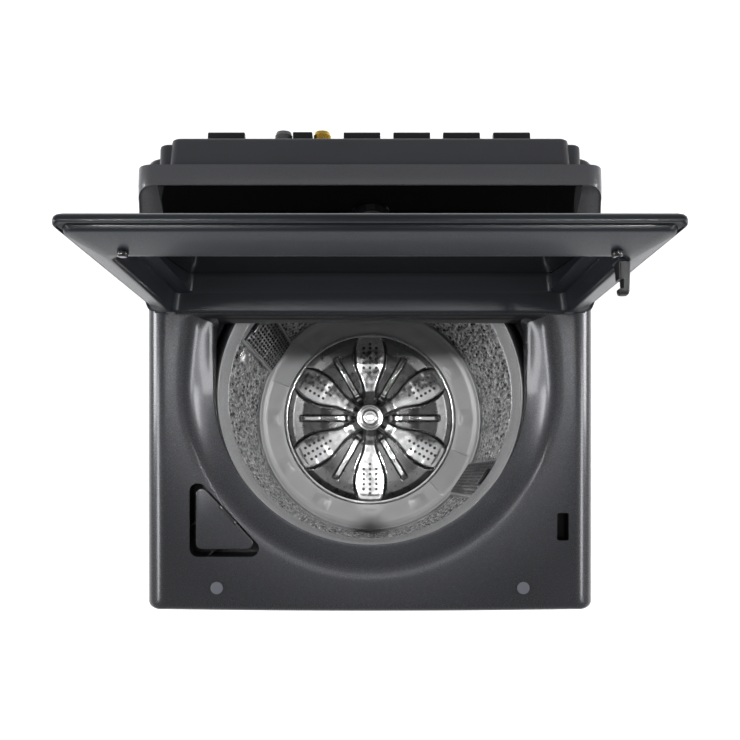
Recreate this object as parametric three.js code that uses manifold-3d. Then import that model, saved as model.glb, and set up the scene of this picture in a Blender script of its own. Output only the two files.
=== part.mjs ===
// Top load washing machine, lid standing open. Millimetres, +Z up, front towards -Y.
// The origin is on the floor, under the middle of the machine.

import * as THREE from 'three';
import { mergeVertices } from 'three/addons/utils/BufferGeometryUtils.js';
import Module from 'manifold-3d';

const wasm = await Module();
wasm.setup();

// ---- Driving dimensions ---------------------------------------------------------------------

const GAP = 0.3;                    // clearance between pieces that rest on each other
const HALF_WIDTH = 343;             // top cover, half of the overall width
const HALF_DEPTH = 360;             // front edge to the water connectors, half
const ROUND = 36;                   // sides of a large round piece
const SMALL_ROUND = 12;             // sides of a small round piece

// Deck: the sloping top of the top cover
const DECK_TILT = THREE.MathUtils.degToRad(6.75);
const DECK_FRONT_Z = 938.4;
const DECK_FRONT = -363.7;          // along the slope
const DECK_REAR = 330.3;
const DECK_BOW = 3;                 // the front edge is proud in the middle
const COVER_SKIN = 2.5;
const COVER_SKIRT = 42;
const SHOULDER_START = 311;         // the flat deck ends here, then rolls down to the side
const SHOULDER_DROP = 26;
const FRONT_ROLL = 10;

// Drum and bowl
const DRUM_Y = -21;
const BOWL_RIM_R = 284;
const BOWL_LIP_R = 243;
const BOWL_LIP_Z = 912;
const BOWL_BACK_Y = 82;             // the bowl is cut off straight here
const BOWL_WALL = 3;
const RING_OUTER_R = 256;
const RING_INNER_R = 232.5;
const RING_TOP_Z = 904;
const BASKET_R = 252.5;
const BASKET_SHEET = 0.8;
const BASKET_BOTTOM_Z = 296;
const RING_BOTTOM_Z = 846;
const BASE_RING_R = 190;            // the impeller sits inside this radius
const IMPELLER_R = 188;
const IMPELLER_Z = 295;
const PETALS = 6;
const FILTER_ANGLES = { lint_filter_left: 146, lint_filter_right: 326 };
const FILTER_FACE_R = 236;
const FILTER_HALF_ANGLE = 10.2;
const FILTER_Z = [336, 790];

// Tub, drive and suspension
const TUB_R = 282;
const TUB_WALL = 4;
const TUB_BOTTOM_Z = 222;
const TUB_TOP_Z = 892;
const SHAFT_R = 9;
const SPIN_TUBE_R = 16;
const ROTOR_R = 145;
const STATOR_TEETH = 24;
const ROD = { x: 285, y: 250, r: 4, cupZ: 300, plateZ: 876 };
const EAR_Z = 396;

// Cabinet
const CABINET_HALF_WIDTH = 341;
const CABINET_FRONT_Y = -355;
const CABINET_REAR_Y = 330;
const CABINET_SHEET = 0.9;
const PANEL_SHEET = 0.9;
const CABINET_BOTTOM_Z = 30;
const BASE_Z = [26, 52];
const FOOT = { x: 300, front: -318, rear: 296 };

// Lid, open: it stands upright and turns about a pin just above the deck
const HINGE = { y: 98, z: 1007, pinR: 3.5 };
const LID_HALF_WIDTH = 338;
const LID_FACE_Y = 89.6;
const LID_BOTTOM_Z = 1016;
const LID_TOP_Z = 1455;
const BAND_Z = 1368;                // the front band starts here and leans back
const LIP_Y = 107.4;
const PANE = { y: -19808.9, z: -295, r: 20000, t: 4 };   // leaning glass: axis and inner radius
const RECESS = { halfWidth: 296, bottom: 1020, top: 1364, depthY: 118.5, corner: 16 };
const WINDOW = { halfWidth: 272, bottom: 1024, top: 1362 };
const PEG = { x: 295.5, z: 1340, length: 38, width: 14 };

// Lock
const SLOT = { x: 294.8, s: -233, width: 18, length: 42 };
const BOLT = { from: 264, to: 284.5, half: 6, top: -17, bottom: -23 };

// Dispenser corner: a triangle whose long side faces the drum
const CORNER = { midX: -214.5, midS: -212.5, nx: 0.734, ns: 0.679 };
const WELL = { x: -276, s: -279, off: 0, round: 8 };
const TRAY_WALL = 4;
const TRAY_DEPTH = 45;
const FLAP = { x: -266, s: -267, off: -2.7, t: 2.4, axisOff: -3.5, axisT: -2.6, notch: 18.5,
  lugX: 16 };

// Console
const CONSOLE_TOP_Z = 1130;
const CONSOLE_TOP_Y = [252, 282];
const CONSOLE_FOOT = { y: 164, z: 1006 };
const CONSOLE_TOP_HALF = 331;
const FACE_WALL = 9;
const SCREEN = { halfWidth: 300, low: -66, high: 72, t: 4 };
const KNOB = { x: 2, p: 13, r: 31, height: 22 };
const BUTTONS = { power_button: -205, start_button: 205 };
const BUTTON = { p: -12, r: 8 };

// Rear
const REAR_WIDE = { half: 305, y: 322, z: 1100 };
const REAR_NARROW = { half: 286, y: 328, frontZ: 1120, rearZ: 1108 };
const VENTS_X = [-215, -12, 62.5, 137, 212];
const VENT = { width: 55, low: 1030, high: 1055, y: 356.5 };
const INLETS = { inlet_connector_cold: -130, inlet_connector_hot: -72 };
const INLET = { z: 1041, r: 13 };

// ---- Materials ------------------------------------------------------------------------------

const FINISH = {
  enamel: { color: 0x46474b, roughness: 0.32, metalness: 0.35 },
  charcoal: { color: 0x3a3d42, roughness: 0.42, metalness: 0.1 },
  blackGloss: { color: 0x08090b, roughness: 0.08, metalness: 0.0 },
  blackPlastic: { color: 0x141517, roughness: 0.5, metalness: 0.0 },
  greyPlastic: { color: 0x6f6f70, roughness: 0.45, metalness: 0.0 },
  stainless: { color: 0xb9babc, roughness: 0.25, metalness: 1.0 },
  steel: { color: 0x8c8e90, roughness: 0.4, metalness: 1.0 },
  zinc: { color: 0x9a9da0, roughness: 0.5, metalness: 0.8 },
  tubPlastic: { color: 0xc9cac7, roughness: 0.55, metalness: 0.0 },
  rubber: { color: 0x202022, roughness: 0.8, metalness: 0.0 },
  padRubber: { color: 0x7b7b82, roughness: 0.6, metalness: 0.0 },
  copper: { color: 0xa5642e, roughness: 0.4, metalness: 1.0 },
  brass: { color: 0xd2a83a, roughness: 0.35, metalness: 0.9 },
};

const machine = new THREE.Group();

function addPart(name, geometry, finish) {
  const mesh = new THREE.Mesh(outward(geometry), new THREE.MeshStandardMaterial(FINISH[finish]));
  mesh.name = name;
  machine.add(mesh);
  return mesh;
}

// ---- Solid helpers --------------------------------------------------------------------------

const v2 = (x, y) => new THREE.Vector2(x, y);

function welded(geometry) {
  const bare = geometry.clone();
  bare.deleteAttribute('normal');
  bare.deleteAttribute('uv');
  const merged = mergeVertices(bare, 1e-3);
  const index = [];
  for (let i = 0; i < merged.index.count; i += 3) {
    const [a, b, c] = [0, 1, 2].map((k) => merged.index.getX(i + k));
    if (a !== b && b !== c && c !== a) index.push(a, b, c);
  }
  merged.setIndex(index);
  return merged;
}

function signedVolume(geometry) {
  const position = geometry.attributes.position;
  const [a, b, c] = [new THREE.Vector3(), new THREE.Vector3(), new THREE.Vector3()];
  let volume = 0;
  for (let i = 0; i < geometry.index.count; i += 3) {
    a.fromBufferAttribute(position, geometry.index.getX(i));
    b.fromBufferAttribute(position, geometry.index.getX(i + 1));
    c.fromBufferAttribute(position, geometry.index.getX(i + 2));
    volume += a.dot(b.cross(c)) / 6;
  }
  return volume;
}

// Welds a closed geometry and turns its faces outwards.
function outward(geometry) {
  const closed = welded(geometry);
  if (signedVolume(closed) < 0) {
    const flipped = [];
    for (let i = 0; i < closed.index.count; i += 3) {
      flipped.push(closed.index.getX(i), closed.index.getX(i + 2), closed.index.getX(i + 1));
    }
    closed.setIndex(flipped);
  }
  closed.computeVertexNormals();
  return closed;
}

function solid(geometry) {
  const closed = outward(geometry);
  return new wasm.Manifold(new wasm.Mesh({
    numProp: 3,
    vertProperties: closed.attributes.position.array,
    triVerts: new Uint32Array(closed.index.array),
  }));
}

function skin(manifold) {
  const mesh = manifold.getMesh();
  const geometry = new THREE.BufferGeometry();
  geometry.setAttribute('position', new THREE.BufferAttribute(mesh.vertProperties, 3));
  geometry.setIndex(new THREE.BufferAttribute(mesh.triVerts, 1));
  return geometry;
}

const joined = (...geometries) => skin(geometries.map(solid).reduce((a, b) => a.add(b)));

function cut(body, ...tools) {
  return skin(tools.map(solid).reduce((a, b) => a.subtract(b), solid(body)));
}

function common(...geometries) {
  return skin(geometries.map(solid).reduce((a, b) => a.intersect(b)));
}

// ---- Shape helpers --------------------------------------------------------------------------

const polygon = (points) => new THREE.Shape(points.map(([x, y]) => v2(x, y)));

// A polygon with each corner rounded; a radius of 0 keeps the corner sharp.
function roundedPolygon(points, radii) {
  const shape = new THREE.Shape();
  const count = points.length;
  points.forEach(([x, y], i) => {
    const corner = v2(x, y);
    const before = v2(...points[(i + count - 1) % count]).sub(corner).normalize();
    const after = v2(...points[(i + 1) % count]).sub(corner).normalize();
    const radius = Array.isArray(radii) ? radii[i] : radii;
    const half = Math.acos(THREE.MathUtils.clamp(before.dot(after), -1, 1)) / 2;
    const reach = radius / Math.tan(half);
    const start = corner.clone().addScaledVector(before, reach);
    const end = corner.clone().addScaledVector(after, reach);
    if (i === 0) shape.moveTo(start.x, start.y);
    else shape.lineTo(start.x, start.y);
    if (radius > 0) shape.quadraticCurveTo(corner.x, corner.y, end.x, end.y);
  });
  shape.closePath();
  return shape;
}

const rectangle = (x0, y0, x1, y1, radius = 0) =>
  roundedPolygon([[x0, y0], [x1, y0], [x1, y1], [x0, y1]], radius);

function extrude(shape, from, to, curveSegments = 5) {
  const options = { depth: to - from, bevelEnabled: false, curveSegments };
  return new THREE.ExtrudeGeometry(shape, options).translate(0, 0, from);
}

// The shape is drawn in (y, z) and runs along X.
function alongX(shape, from, to) {
  const turn = new THREE.Matrix4().set(0, 0, 1, 0, 1, 0, 0, 0, 0, 1, 0, 0, 0, 0, 0, 1);
  return extrude(shape, from, to).applyMatrix4(turn);
}

// The shape is drawn in (x, z) and runs along Y.
const alongY = (shape, from, to) => extrude(shape, -to, -from).rotateX(Math.PI / 2);

const box = (x0, x1, y0, y1, z0, z1) =>
  new THREE.BoxGeometry(x1 - x0, y1 - y0, z1 - z0)
    .translate((x0 + x1) / 2, (y0 + y1) / 2, (z0 + z1) / 2);

// A profile of [radius, height] points turned about Z.
function turned(points, sides = ROUND) {
  const profile = points.map(([r, z]) => v2(r, z));
  return new THREE.LatheGeometry(profile, sides).rotateX(Math.PI / 2);
}

const ringProfile = (points) => [...points, points[0]];

const rod = (radius, from, to, sides = SMALL_ROUND) =>
  turned([[0, from], [radius, from], [radius, to], [0, to]], sides);

const rodAlongX = (radius, from, to, y, z, sides = SMALL_ROUND) =>
  rod(radius, from, to, sides).rotateY(Math.PI / 2).translate(0, y, z);

const rodAlongY = (radius, from, to, x, z, sides = SMALL_ROUND) =>
  rod(radius, from, to, sides).rotateX(-Math.PI / 2).translate(x, 0, z);

// Joins rings of points, one above the other, into one closed body.
function loft(rings) {
  const count = rings[0].length;
  const positions = rings.flat().flatMap((p) => [p.x, p.y, p.z]);
  const index = [];
  for (let k = 0; k + 1 < rings.length; k += 1) {
    for (let i = 0; i < count; i += 1) {
      const [a, b] = [k * count + i, k * count + ((i + 1) % count)];
      index.push(a, b, b + count, a, b + count, a + count);
    }
  }
  const top = (rings.length - 1) * count;
  for (let i = 1; i + 1 < count; i += 1) {
    index.push(0, i + 1, i);
    index.push(top, top + i, top + i + 1);
  }
  const geometry = new THREE.BufferGeometry();
  geometry.setAttribute('position', new THREE.Float32BufferAttribute(positions, 3));
  geometry.setIndex(index);
  return geometry;
}

const atDrum = (geometry) => geometry.translate(0, DRUM_Y, 0);

// ---- The sloping deck frame: x, s along the slope, t square to it ---------------------------

const deckZ = (y) => DECK_FRONT_Z + Math.tan(DECK_TILT) * (y + HALF_DEPTH);
const deckMatrix = new THREE.Matrix4().makeRotationX(DECK_TILT).setPosition(0, 0, deckZ(0));
const onDeck = (geometry) => geometry.applyMatrix4(deckMatrix);
const DRUM_S = DRUM_Y / Math.cos(DECK_TILT);

// ---- Top cover ------------------------------------------------------------------------------

function deckSlab(inset, bottom) {
  const half = HALF_WIDTH - inset;
  const roll = half - SHOULDER_START;
  const across = new THREE.Shape();
  across.moveTo(-half, bottom);
  across.lineTo(half, bottom);
  across.lineTo(half, -SHOULDER_DROP);
  across.absellipse(SHOULDER_START, -SHOULDER_DROP, roll, SHOULDER_DROP - inset, 0, Math.PI / 2);
  across.lineTo(-SHOULDER_START, -inset);
  across.absellipse(-SHOULDER_START, -SHOULDER_DROP, roll, SHOULDER_DROP - inset,
    Math.PI / 2, Math.PI);
  across.closePath();

  const front = DECK_FRONT + inset;
  const rear = DECK_REAR - inset;
  const along = roundedPolygon([[front, bottom], [rear, bottom], [rear, -inset], [front, -inset]],
    [0, 0, 0, FRONT_ROLL]);

  const edge = DECK_BOW + front;
  const reach = half - 14;
  const plan = new THREE.Shape();
  plan.moveTo(-reach, edge);
  plan.quadraticCurveTo(0, front - DECK_BOW, reach, edge);
  plan.quadraticCurveTo(half, edge, half, edge + 14);
  plan.lineTo(half, rear);
  plan.lineTo(-half, rear);
  plan.lineTo(-half, edge + 14);
  plan.quadraticCurveTo(-half, edge, -reach, edge);
  return common(
    alongY(across, front - 5, rear),
    alongX(along, -half - 5, half + 5),
    extrude(plan, bottom, 5),
  );
}

// The bowl runs from a circle on the slope down to a level circle round the drum.
function bowl(grow, overTop) {
  const deckRing = [];
  const lipRing = [];
  for (let i = 0; i < ROUND; i += 1) {
    const angle = (2 * Math.PI * i) / ROUND;
    const [c, s] = [Math.cos(angle), Math.sin(angle)];
    const rim = BOWL_RIM_R + grow + overTop;
    deckRing.push(new THREE.Vector3(rim * c, DRUM_S + rim * s, overTop).applyMatrix4(deckMatrix));
    const lip = BOWL_LIP_R + grow;
    lipRing.push(new THREE.Vector3(lip * c, DRUM_Y + lip * s, BOWL_LIP_Z));
  }
  const belowLip = lipRing.map((p) => p.clone().setZ(BOWL_LIP_Z - 20));
  const rings = overTop > 0 ? [belowLip, lipRing, deckRing] : [lipRing, deckRing];
  const back = BOWL_BACK_Y + grow;
  return common(loft(rings), box(-400, 400, -400, back, 800, 1100));
}

// The dispenser triangle: two legs and a long side at a distance from the well's long side.
function cornerTriangle({ x, s, off }) {
  const { midX, midS, nx, ns } = CORNER;
  return [
    [x, s],
    [midX + (off - (s - midS) * ns) / nx, s],
    [x, midS + (off - (x - midX) * nx) / ns],
  ];
}

function lockSlot(grow, top, bottom) {
  const [w, l] = [SLOT.width / 2 + grow, SLOT.length / 2 + grow];
  return extrude(rectangle(SLOT.x - w, SLOT.s - l, SLOT.x + w, SLOT.s + l, 3), bottom, top);
}

const PLUGS = { deck_plug_left: -234, deck_plug_right: 234 };
const PLUG_S = -324 / Math.cos(DECK_TILT);

function topCover() {
  const shell = cut(deckSlab(0, -COVER_SKIRT), deckSlab(COVER_SKIN, -COVER_SKIRT - 5));
  const openings = [
    extrude(roundedPolygon(cornerTriangle(WELL), WELL.round), -10, 5),
    lockSlot(0, 5, -10),
    ...Object.values(PLUGS).map((x) => rod(6.4, -10, 5).translate(x, PLUG_S, 0)),
  ];
  return cut(joined(onDeck(shell), bowl(BOWL_WALL, 0)), bowl(0, 4), ...openings.map(onDeck));
}

function deckPlug(x) {
  const profile = [[0, -8], [6, -8], [6, 0.3], [9.5, 0.3], [9.5, 1.4], [8, 2], [0, 2]];
  return onDeck(turned(profile, SMALL_ROUND).translate(x, PLUG_S, 0));
}

addPart('top_cover', topCover(), 'enamel');
Object.entries(PLUGS).forEach(([name, x]) => addPart(name, deckPlug(x), 'padRubber'));

// ---- Lid lock -------------------------------------------------------------------------------

function lockHousing() {
  const block = box(256, 313, SLOT.s - 27, SLOT.s + 27, -40, -COVER_SKIN - GAP);
  const channel = box(250, SLOT.x, SLOT.s - BOLT.half - GAP, SLOT.s + BOLT.half + GAP,
    BOLT.bottom - GAP, BOLT.top + GAP);
  return onDeck(cut(block, lockSlot(0.5, 5, -37), channel));
}

const lockBolt = () =>
  onDeck(box(BOLT.from, BOLT.to, SLOT.s - BOLT.half, SLOT.s + BOLT.half, BOLT.bottom, BOLT.top));

addPart('lid_lock_housing', lockHousing(), 'blackPlastic');
addPart('lid_lock_bolt', lockBolt(), 'steel');

// ---- Detergent dispenser --------------------------------------------------------------------

const hypotenuseAngle = Math.atan2(-CORNER.nx, CORNER.ns);

// Places a piece drawn round its own origin: x along the hinge pin, y towards the drum.
function onCornerHinge(geometry, off = FLAP.axisOff, t = FLAP.axisT) {
  const x = CORNER.midX + CORNER.nx * off;
  const s = CORNER.midS + CORNER.ns * off;
  return onDeck(geometry.rotateZ(hypotenuseAngle).translate(x, s, t));
}

function dispenserTray() {
  const outside = { x: WELL.x - TRAY_WALL, s: WELL.s - TRAY_WALL, off: 0.8 };
  const top = -COVER_SKIN - GAP;
  const inside = roundedPolygon(cornerTriangle({ ...WELL, off: -0.6 }), WELL.round);
  const well = extrude(inside, -TRAY_DEPTH + 3, 5);
  const block = extrude(roundedPolygon(cornerTriangle(outside), 10), -TRAY_DEPTH, top);
  const lugs = [-1, 1].flatMap((side) => {
    const [x0, x1] = [side * FLAP.lugX - 1.5, side * FLAP.lugX + 1.5];
    return [
      onCornerHinge(box(x0, x1, -2.2, 2.2, -8, 1.2)),
      onCornerHinge(box(x0, x1, -2.2, 0.7 - FLAP.axisOff, -8, -0.5)),
    ];
  });
  const ribs = [-26, 26].map((along) => common(
    onCornerHinge(box(along - 1, along + 1, -120, 8, -TRAY_DEPTH, -16), FLAP.axisOff, 0),
    onDeck(block.clone()),
  ));
  const pin = onCornerHinge(rodAlongX(1.5, -30, 30, 0, 0, 10));
  return cut(joined(cut(onDeck(block), onDeck(well)), ...lugs, ...ribs), pin);
}

function dispenserFlap() {
  const notch = onCornerHinge(box(-FLAP.notch, FLAP.notch, -3, 10, -4, 6));
  const plate = extrude(roundedPolygon(cornerTriangle(FLAP), 7), -FLAP.t, 0);
  const barrel = rodAlongX(2.4, -14, 14, 0, 0, 12);
  const web = box(-14, 14, -4, 0, -0.4, 2.4);
  const bore = onCornerHinge(rodAlongX(1.5, -30, 30, 0, 0, 10));
  return cut(joined(cut(onDeck(plate), notch), onCornerHinge(barrel), onCornerHinge(web)), bore);
}

const flapPin = () => onCornerHinge(rodAlongX(1.2, -FLAP.lugX - 1.5, FLAP.lugX + 1.5, 0, 0, 10));

addPart('dispenser_tray', dispenserTray(), 'greyPlastic');
addPart('dispenser_flap', dispenserFlap(), 'enamel');
addPart('dispenser_hinge_pin', flapPin(), 'steel');

// ---- Lid ------------------------------------------------------------------------------------

const paneY = (z, radius) => PANE.y + Math.sqrt(radius ** 2 - (z - PANE.z) ** 2);

function paneArc(radius, from, to, steps = 10) {
  return Array.from({ length: steps + 1 }, (_, i) => {
    const z = from + ((to - from) * i) / steps;
    return [paneY(z, radius), z];
  });
}

function paneSlab(inner, outer, bottom, top, halfWidth) {
  const outline = [...paneArc(inner, top, bottom), ...paneArc(outer, bottom, top)];
  return alongX(polygon(outline), -halfWidth, halfWidth);
}

function lidBlank() {
  const outerR = PANE.r + PANE.t + 0.7;
  const section = polygon([
    [LID_FACE_Y, LID_BOTTOM_Z], [paneY(1030, outerR) - 8, LID_BOTTOM_Z],
    [paneY(1030, outerR) - 2.5, 1020], ...paneArc(outerR, 1030, 1445),
    [119.6, 1451.5], [117.7, LID_TOP_Z], [LIP_Y + 1.5, LID_TOP_Z], [LIP_Y - 0.6, 1452],
    [LID_FACE_Y + 1, BAND_Z + 4], [LID_FACE_Y, BAND_Z - 4],
  ]);
  const [w, low] = [LID_HALF_WIDTH, LID_BOTTOM_Z];
  const outline = roundedPolygon([[-w, low], [w, low], [w, LID_TOP_Z], [-w, LID_TOP_Z]],
    [6, 6, 12, 12]);
  const chamfers = [-1, 1].map((side) => extrude(
    polygon([[side * 300, 60], [side * 300, LID_FACE_Y], [side * 350, LID_FACE_Y + 18.3],
      [side * 350, 60]]), 990, 1470));
  return cut(common(alongX(section, -w, w), alongY(outline, 60, 200)), ...chamfers);
}

function lidFrame() {
  const { halfWidth, bottom, top, depthY, corner } = RECESS;
  const recess = alongY(rectangle(-halfWidth, bottom, halfWidth, top, corner), 80, depthY);
  const window = alongY(
    rectangle(-WINDOW.halfWidth, WINDOW.bottom, WINDOW.halfWidth, WINDOW.top, 12), 80, 180);
  const rebate = paneSlab(PANE.r - GAP, PANE.r + 30, 1019, 1432, 290);
  const boss = box(286, 305, LID_FACE_Y + 0.2, depthY + 4, PEG.z - 18, PEG.z + 18);
  const frame = joined(cut(lidBlank(), recess, window, rebate), boss);
  const knuckles = [-1, 1].map((side) => joined(
    rodAlongX(7.5, 309.5, 325, HINGE.y, HINGE.z).scale(side, 1, 1),
    box(309.5, 325, HINGE.y - 6, HINGE.y + 6, HINGE.z, LID_BOTTOM_Z + 1).scale(side, 1, 1),
  ));
  return cut(joined(frame, ...knuckles), rodAlongX(HINGE.pinR + 0.5, -330, 330, HINGE.y, HINGE.z));
}

function lidStriker() {
  const [x, half] = [PEG.x, PEG.width / 2];
  const base = LID_FACE_Y + 0.2 - GAP;
  const tip = LID_FACE_Y - PEG.length;
  const sides = polygon([[base, PEG.z - 13], [base, PEG.z + 13], [tip + 3, PEG.z + 8.5],
    [tip, PEG.z + 6], [tip, PEG.z - 6], [tip + 3, PEG.z - 8.5]]);
  const notch = box(x - half - 1, x - half + 6, LID_FACE_Y - 31, LID_FACE_Y - 20,
    PEG.z - 20, PEG.z + 20);
  return cut(alongX(sides, x - half, x + half), notch);
}

function lidBumper(x) {
  const profile = [[0, 85.4], [4, 85.6], [6.2, 87.5], [6.5, 90], [6.5, 92.4], [0, 92.4]];
  return turned(profile, SMALL_ROUND).rotateX(-Math.PI / 2).translate(x, 0, 1390);
}

function hingeBracket(side) {
  const { y, z, pinR } = HINGE;
  const foot = polygon([[y - 7, deckZ(y - 7) + GAP], [y + 7, deckZ(y + 7) + GAP],
    [y + 7, z], [y - 7, z]]);
  const lug = joined(alongX(foot, 297, 307.5), rodAlongX(8, 297, 307.5, y, z));
  return cut(lug, rodAlongX(pinR + 0.4, 290, 312, y, z)).scale(side, 1, 1);
}

const hingePin = (side) =>
  rodAlongX(HINGE.pinR, 294.5, 327.5, HINGE.y, HINGE.z, 12).scale(side, 1, 1);

addPart('lid_frame', lidFrame(), 'charcoal');
addPart('lid_glass', paneSlab(PANE.r, PANE.r + PANE.t, 1019.5, 1431.5, 289.6), 'blackGloss');
addPart('lid_striker', lidStriker(), 'blackPlastic');
Object.entries({ left: -1, right: 1 }).forEach(([hand, side]) => {
  addPart(`lid_bumper_${hand}`, lidBumper(277 * side), 'rubber');
  addPart(`lid_hinge_bracket_${hand}`, hingeBracket(side), 'zinc');
  addPart(`lid_hinge_pin_${hand}`, hingePin(side), 'steel');
});

// ---- Console --------------------------------------------------------------------------------

const faceUp = new THREE.Vector3(
  0, CONSOLE_TOP_Y[0] - CONSOLE_FOOT.y, CONSOLE_TOP_Z - CONSOLE_FOOT.z).normalize();
const faceOut = new THREE.Vector3(0, -faceUp.z, faceUp.y);
const faceMatrix = new THREE.Matrix4()
  .makeBasis(new THREE.Vector3(1, 0, 0), faceUp, faceOut)
  .setPosition(0, (CONSOLE_TOP_Y[0] + CONSOLE_FOOT.y) / 2, (CONSOLE_TOP_Z + CONSOLE_FOOT.z) / 2);
// Places a piece drawn on the console's face: x, p up the face, q out of it.
const onFace = (geometry) => geometry.applyMatrix4(faceMatrix);

function consoleBlock(wall, faceWall) {
  const [frontY, rearY] = CONSOLE_TOP_Y;
  const drop = wall > 0 ? -10 : 0.5;
  const lean = faceWall / faceUp.z;
  const section = roundedPolygon([
    [CONSOLE_FOOT.y + lean, deckZ(CONSOLE_FOOT.y) + drop],
    [rearY - wall, deckZ(rearY) + drop],
    [rearY - wall, CONSOLE_TOP_Z - wall],
    [frontY + lean - wall * 0.3, CONSOLE_TOP_Z - wall],
    [CONSOLE_FOOT.y + lean, CONSOLE_FOOT.z],
  ], [0, 0, 5, 2, 0]);
  const [foot, top] = [HALF_WIDTH - wall, CONSOLE_TOP_HALF - wall];
  const outline = roundedPolygon([[-foot, 980], [foot, 980], [foot, 1040],
    [top, CONSOLE_TOP_Z - wall], [-top, CONSOLE_TOP_Z - wall], [-foot, 1040]],
  [0, 0, 0, 25, 25, 0]);
  return common(alongX(section, -foot, foot), alongY(outline, 150, 300));
}

function consoleHousing() {
  const { halfWidth, low, high, t } = SCREEN;
  const rebate = extrude(rectangle(-halfWidth - GAP, low - GAP, halfWidth + GAP, high + GAP, 6),
    -t - 0.8, 10);
  const hatch = extrude(rectangle(-halfWidth + 10, low + 10, halfWidth - 10, high - 10, 6),
    -FACE_WALL - 20, 10);
  return cut(consoleBlock(0, 0), consoleBlock(3, FACE_WALL), onFace(rebate), onFace(hatch));
}

function consoleGlass() {
  const { halfWidth, low, high, t } = SCREEN;
  const pane = extrude(rectangle(-halfWidth, low, halfWidth, high, 6), -t - 0.5, -0.5);
  const holes = Object.values(BUTTONS).map((x) => rod(BUTTON.r + 0.5, -10, 5)
    .translate(x, BUTTON.p, 0));
  return onFace(cut(pane, rod(4, -10, 5).translate(KNOB.x, KNOB.p, 0), ...holes));
}

function selectorKnob() {
  const { x, p, r, height } = KNOB;
  const profile = [[0, -12], [3.4, -12], [3.4, 0.2], [r - 3, 0.2], [r, 2], [r - 1, height - 4],
    [r - 3, height], [0, height]];
  return onFace(turned(profile, 24).translate(x, p, 0));
}

function pushButton(x) {
  const { p, r } = BUTTON;
  const profile = [[0, -8], [r, -8], [r, 1], [r - 1, 1.8], [0, 1.8]];
  return onFace(turned(profile, SMALL_ROUND).translate(x, p, 0));
}

addPart('console_housing', consoleHousing(), 'enamel');
addPart('console_glass', consoleGlass(), 'blackGloss');
addPart('selector_knob', selectorKnob(), 'blackGloss');
Object.entries(BUTTONS).forEach(([name, x]) => addPart(name, pushButton(x), 'blackPlastic'));
addPart('control_board', onFace(box(-230, 230, -40, 45, -34, -16)), 'blackPlastic');

// ---- Rear of the console and the water connections -------------------------------------------

function rearBlock(wall) {
  const front = CONSOLE_TOP_Y[1] + GAP - (wall > 0 ? 5 : 0);
  const bottom = (y) => deckZ(y) + (wall > 0 ? -10 : 0.5);
  const section = ({ y, frontZ, rearZ }) => roundedPolygon([
    [front, bottom(front)], [y - wall, bottom(y - wall)],
    [y - wall, rearZ - wall], [front, frontZ - wall]], [0, 0, 8, 0]);
  const ends = (half, top) => alongY(roundedPolygon([
    [-half + wall, 980], [half - wall, 980], [half - wall, top], [-half + wall, top]],
  [0, 0, 12, 12]), 260, 340);
  const wide = { ...REAR_WIDE, frontZ: REAR_WIDE.z, rearZ: REAR_WIDE.z };
  return joined(
    common(alongX(section(wide), -350, 350), ends(wide.half, wide.z - wall)),
    common(alongX(section(REAR_NARROW), -350, 350),
      ends(REAR_NARROW.half, REAR_NARROW.frontZ - wall)),
  );
}

function rearCover() {
  const holes = Object.values(INLETS).map((x) => rodAlongY(INLET.r - 3, 300, 340, x, INLET.z));
  return cut(rearBlock(0), rearBlock(2.5), ...holes);
}

function ventStrip() {
  const plateY = [REAR_NARROW.y + GAP, REAR_NARROW.y + 2.3];
  const plate = alongY(polygon([[-248, 1024], [-154, 1024], [-154, 1059], [-48, 1059],
    [-48, 1024], [248, 1024], [248, 1067], [-248, 1067]]), ...plateY);
  const hoods = VENTS_X.map((x) => {
    const section = polygon([[plateY[1] - 1, VENT.low], [VENT.y, VENT.low + 14],
      [VENT.y, VENT.high - 2], [VENT.y - 3, VENT.high], [plateY[1] - 1, VENT.high]]);
    return alongX(section, x - VENT.width / 2, x + VENT.width / 2);
  });
  const throats = VENTS_X.map((x) => {
    const section = polygon([[plateY[1] + 3, VENT.low - 5], [VENT.y - 3, VENT.low + 8],
      [VENT.y - 3, VENT.high - 3], [plateY[1] + 3, VENT.high - 3]]);
    return alongX(section, x - VENT.width / 2 + 2.5, x + VENT.width / 2 - 2.5);
  });
  return cut(joined(plate, ...hoods), ...throats);
}

function valveBody() {
  const y = REAR_NARROW.y + GAP;
  const flange = alongY(rectangle(-150, 1026, -52, 1056, 4), y, y + 9);
  const bridge = alongY(rectangle(-115.5, 1030, -86.5, 1054, 2), y + 8, 356.5);
  return joined(flange, bridge);
}

function inletConnector(x) {
  const [from, r] = [REAR_NARROW.y + 9 + 2 * GAP, INLET.r];
  const outside = [[6, from], [r, from], [r, from + 5], [r - 1.5, from + 6], [r - 1.5, 354]];
  const inside = [[r - 3, HALF_DEPTH], [8, HALF_DEPTH], [8, from + 4], [6, from + 4]];
  return turned(ringProfile([...outside, ...inside]), SMALL_ROUND)
    .rotateX(-Math.PI / 2).translate(x, 0, INLET.z);
}

addPart('console_rear_cover', rearCover(), 'charcoal');
addPart('rear_vent_strip', ventStrip(), 'blackPlastic');
addPart('inlet_valve_body', valveBody(), 'blackPlastic');
addPart('inlet_connector_cold', inletConnector(INLETS.inlet_connector_cold), 'greyPlastic');
addPart('inlet_connector_hot', inletConnector(INLETS.inlet_connector_hot), 'brass');

// ---- Cabinet --------------------------------------------------------------------------------

const rodPlaces = [[-1, -1], [1, -1], [-1, 1], [1, 1]]
  .map(([sx, sy]) => [sx * ROD.x, DRUM_Y + sy * ROD.y]);

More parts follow.
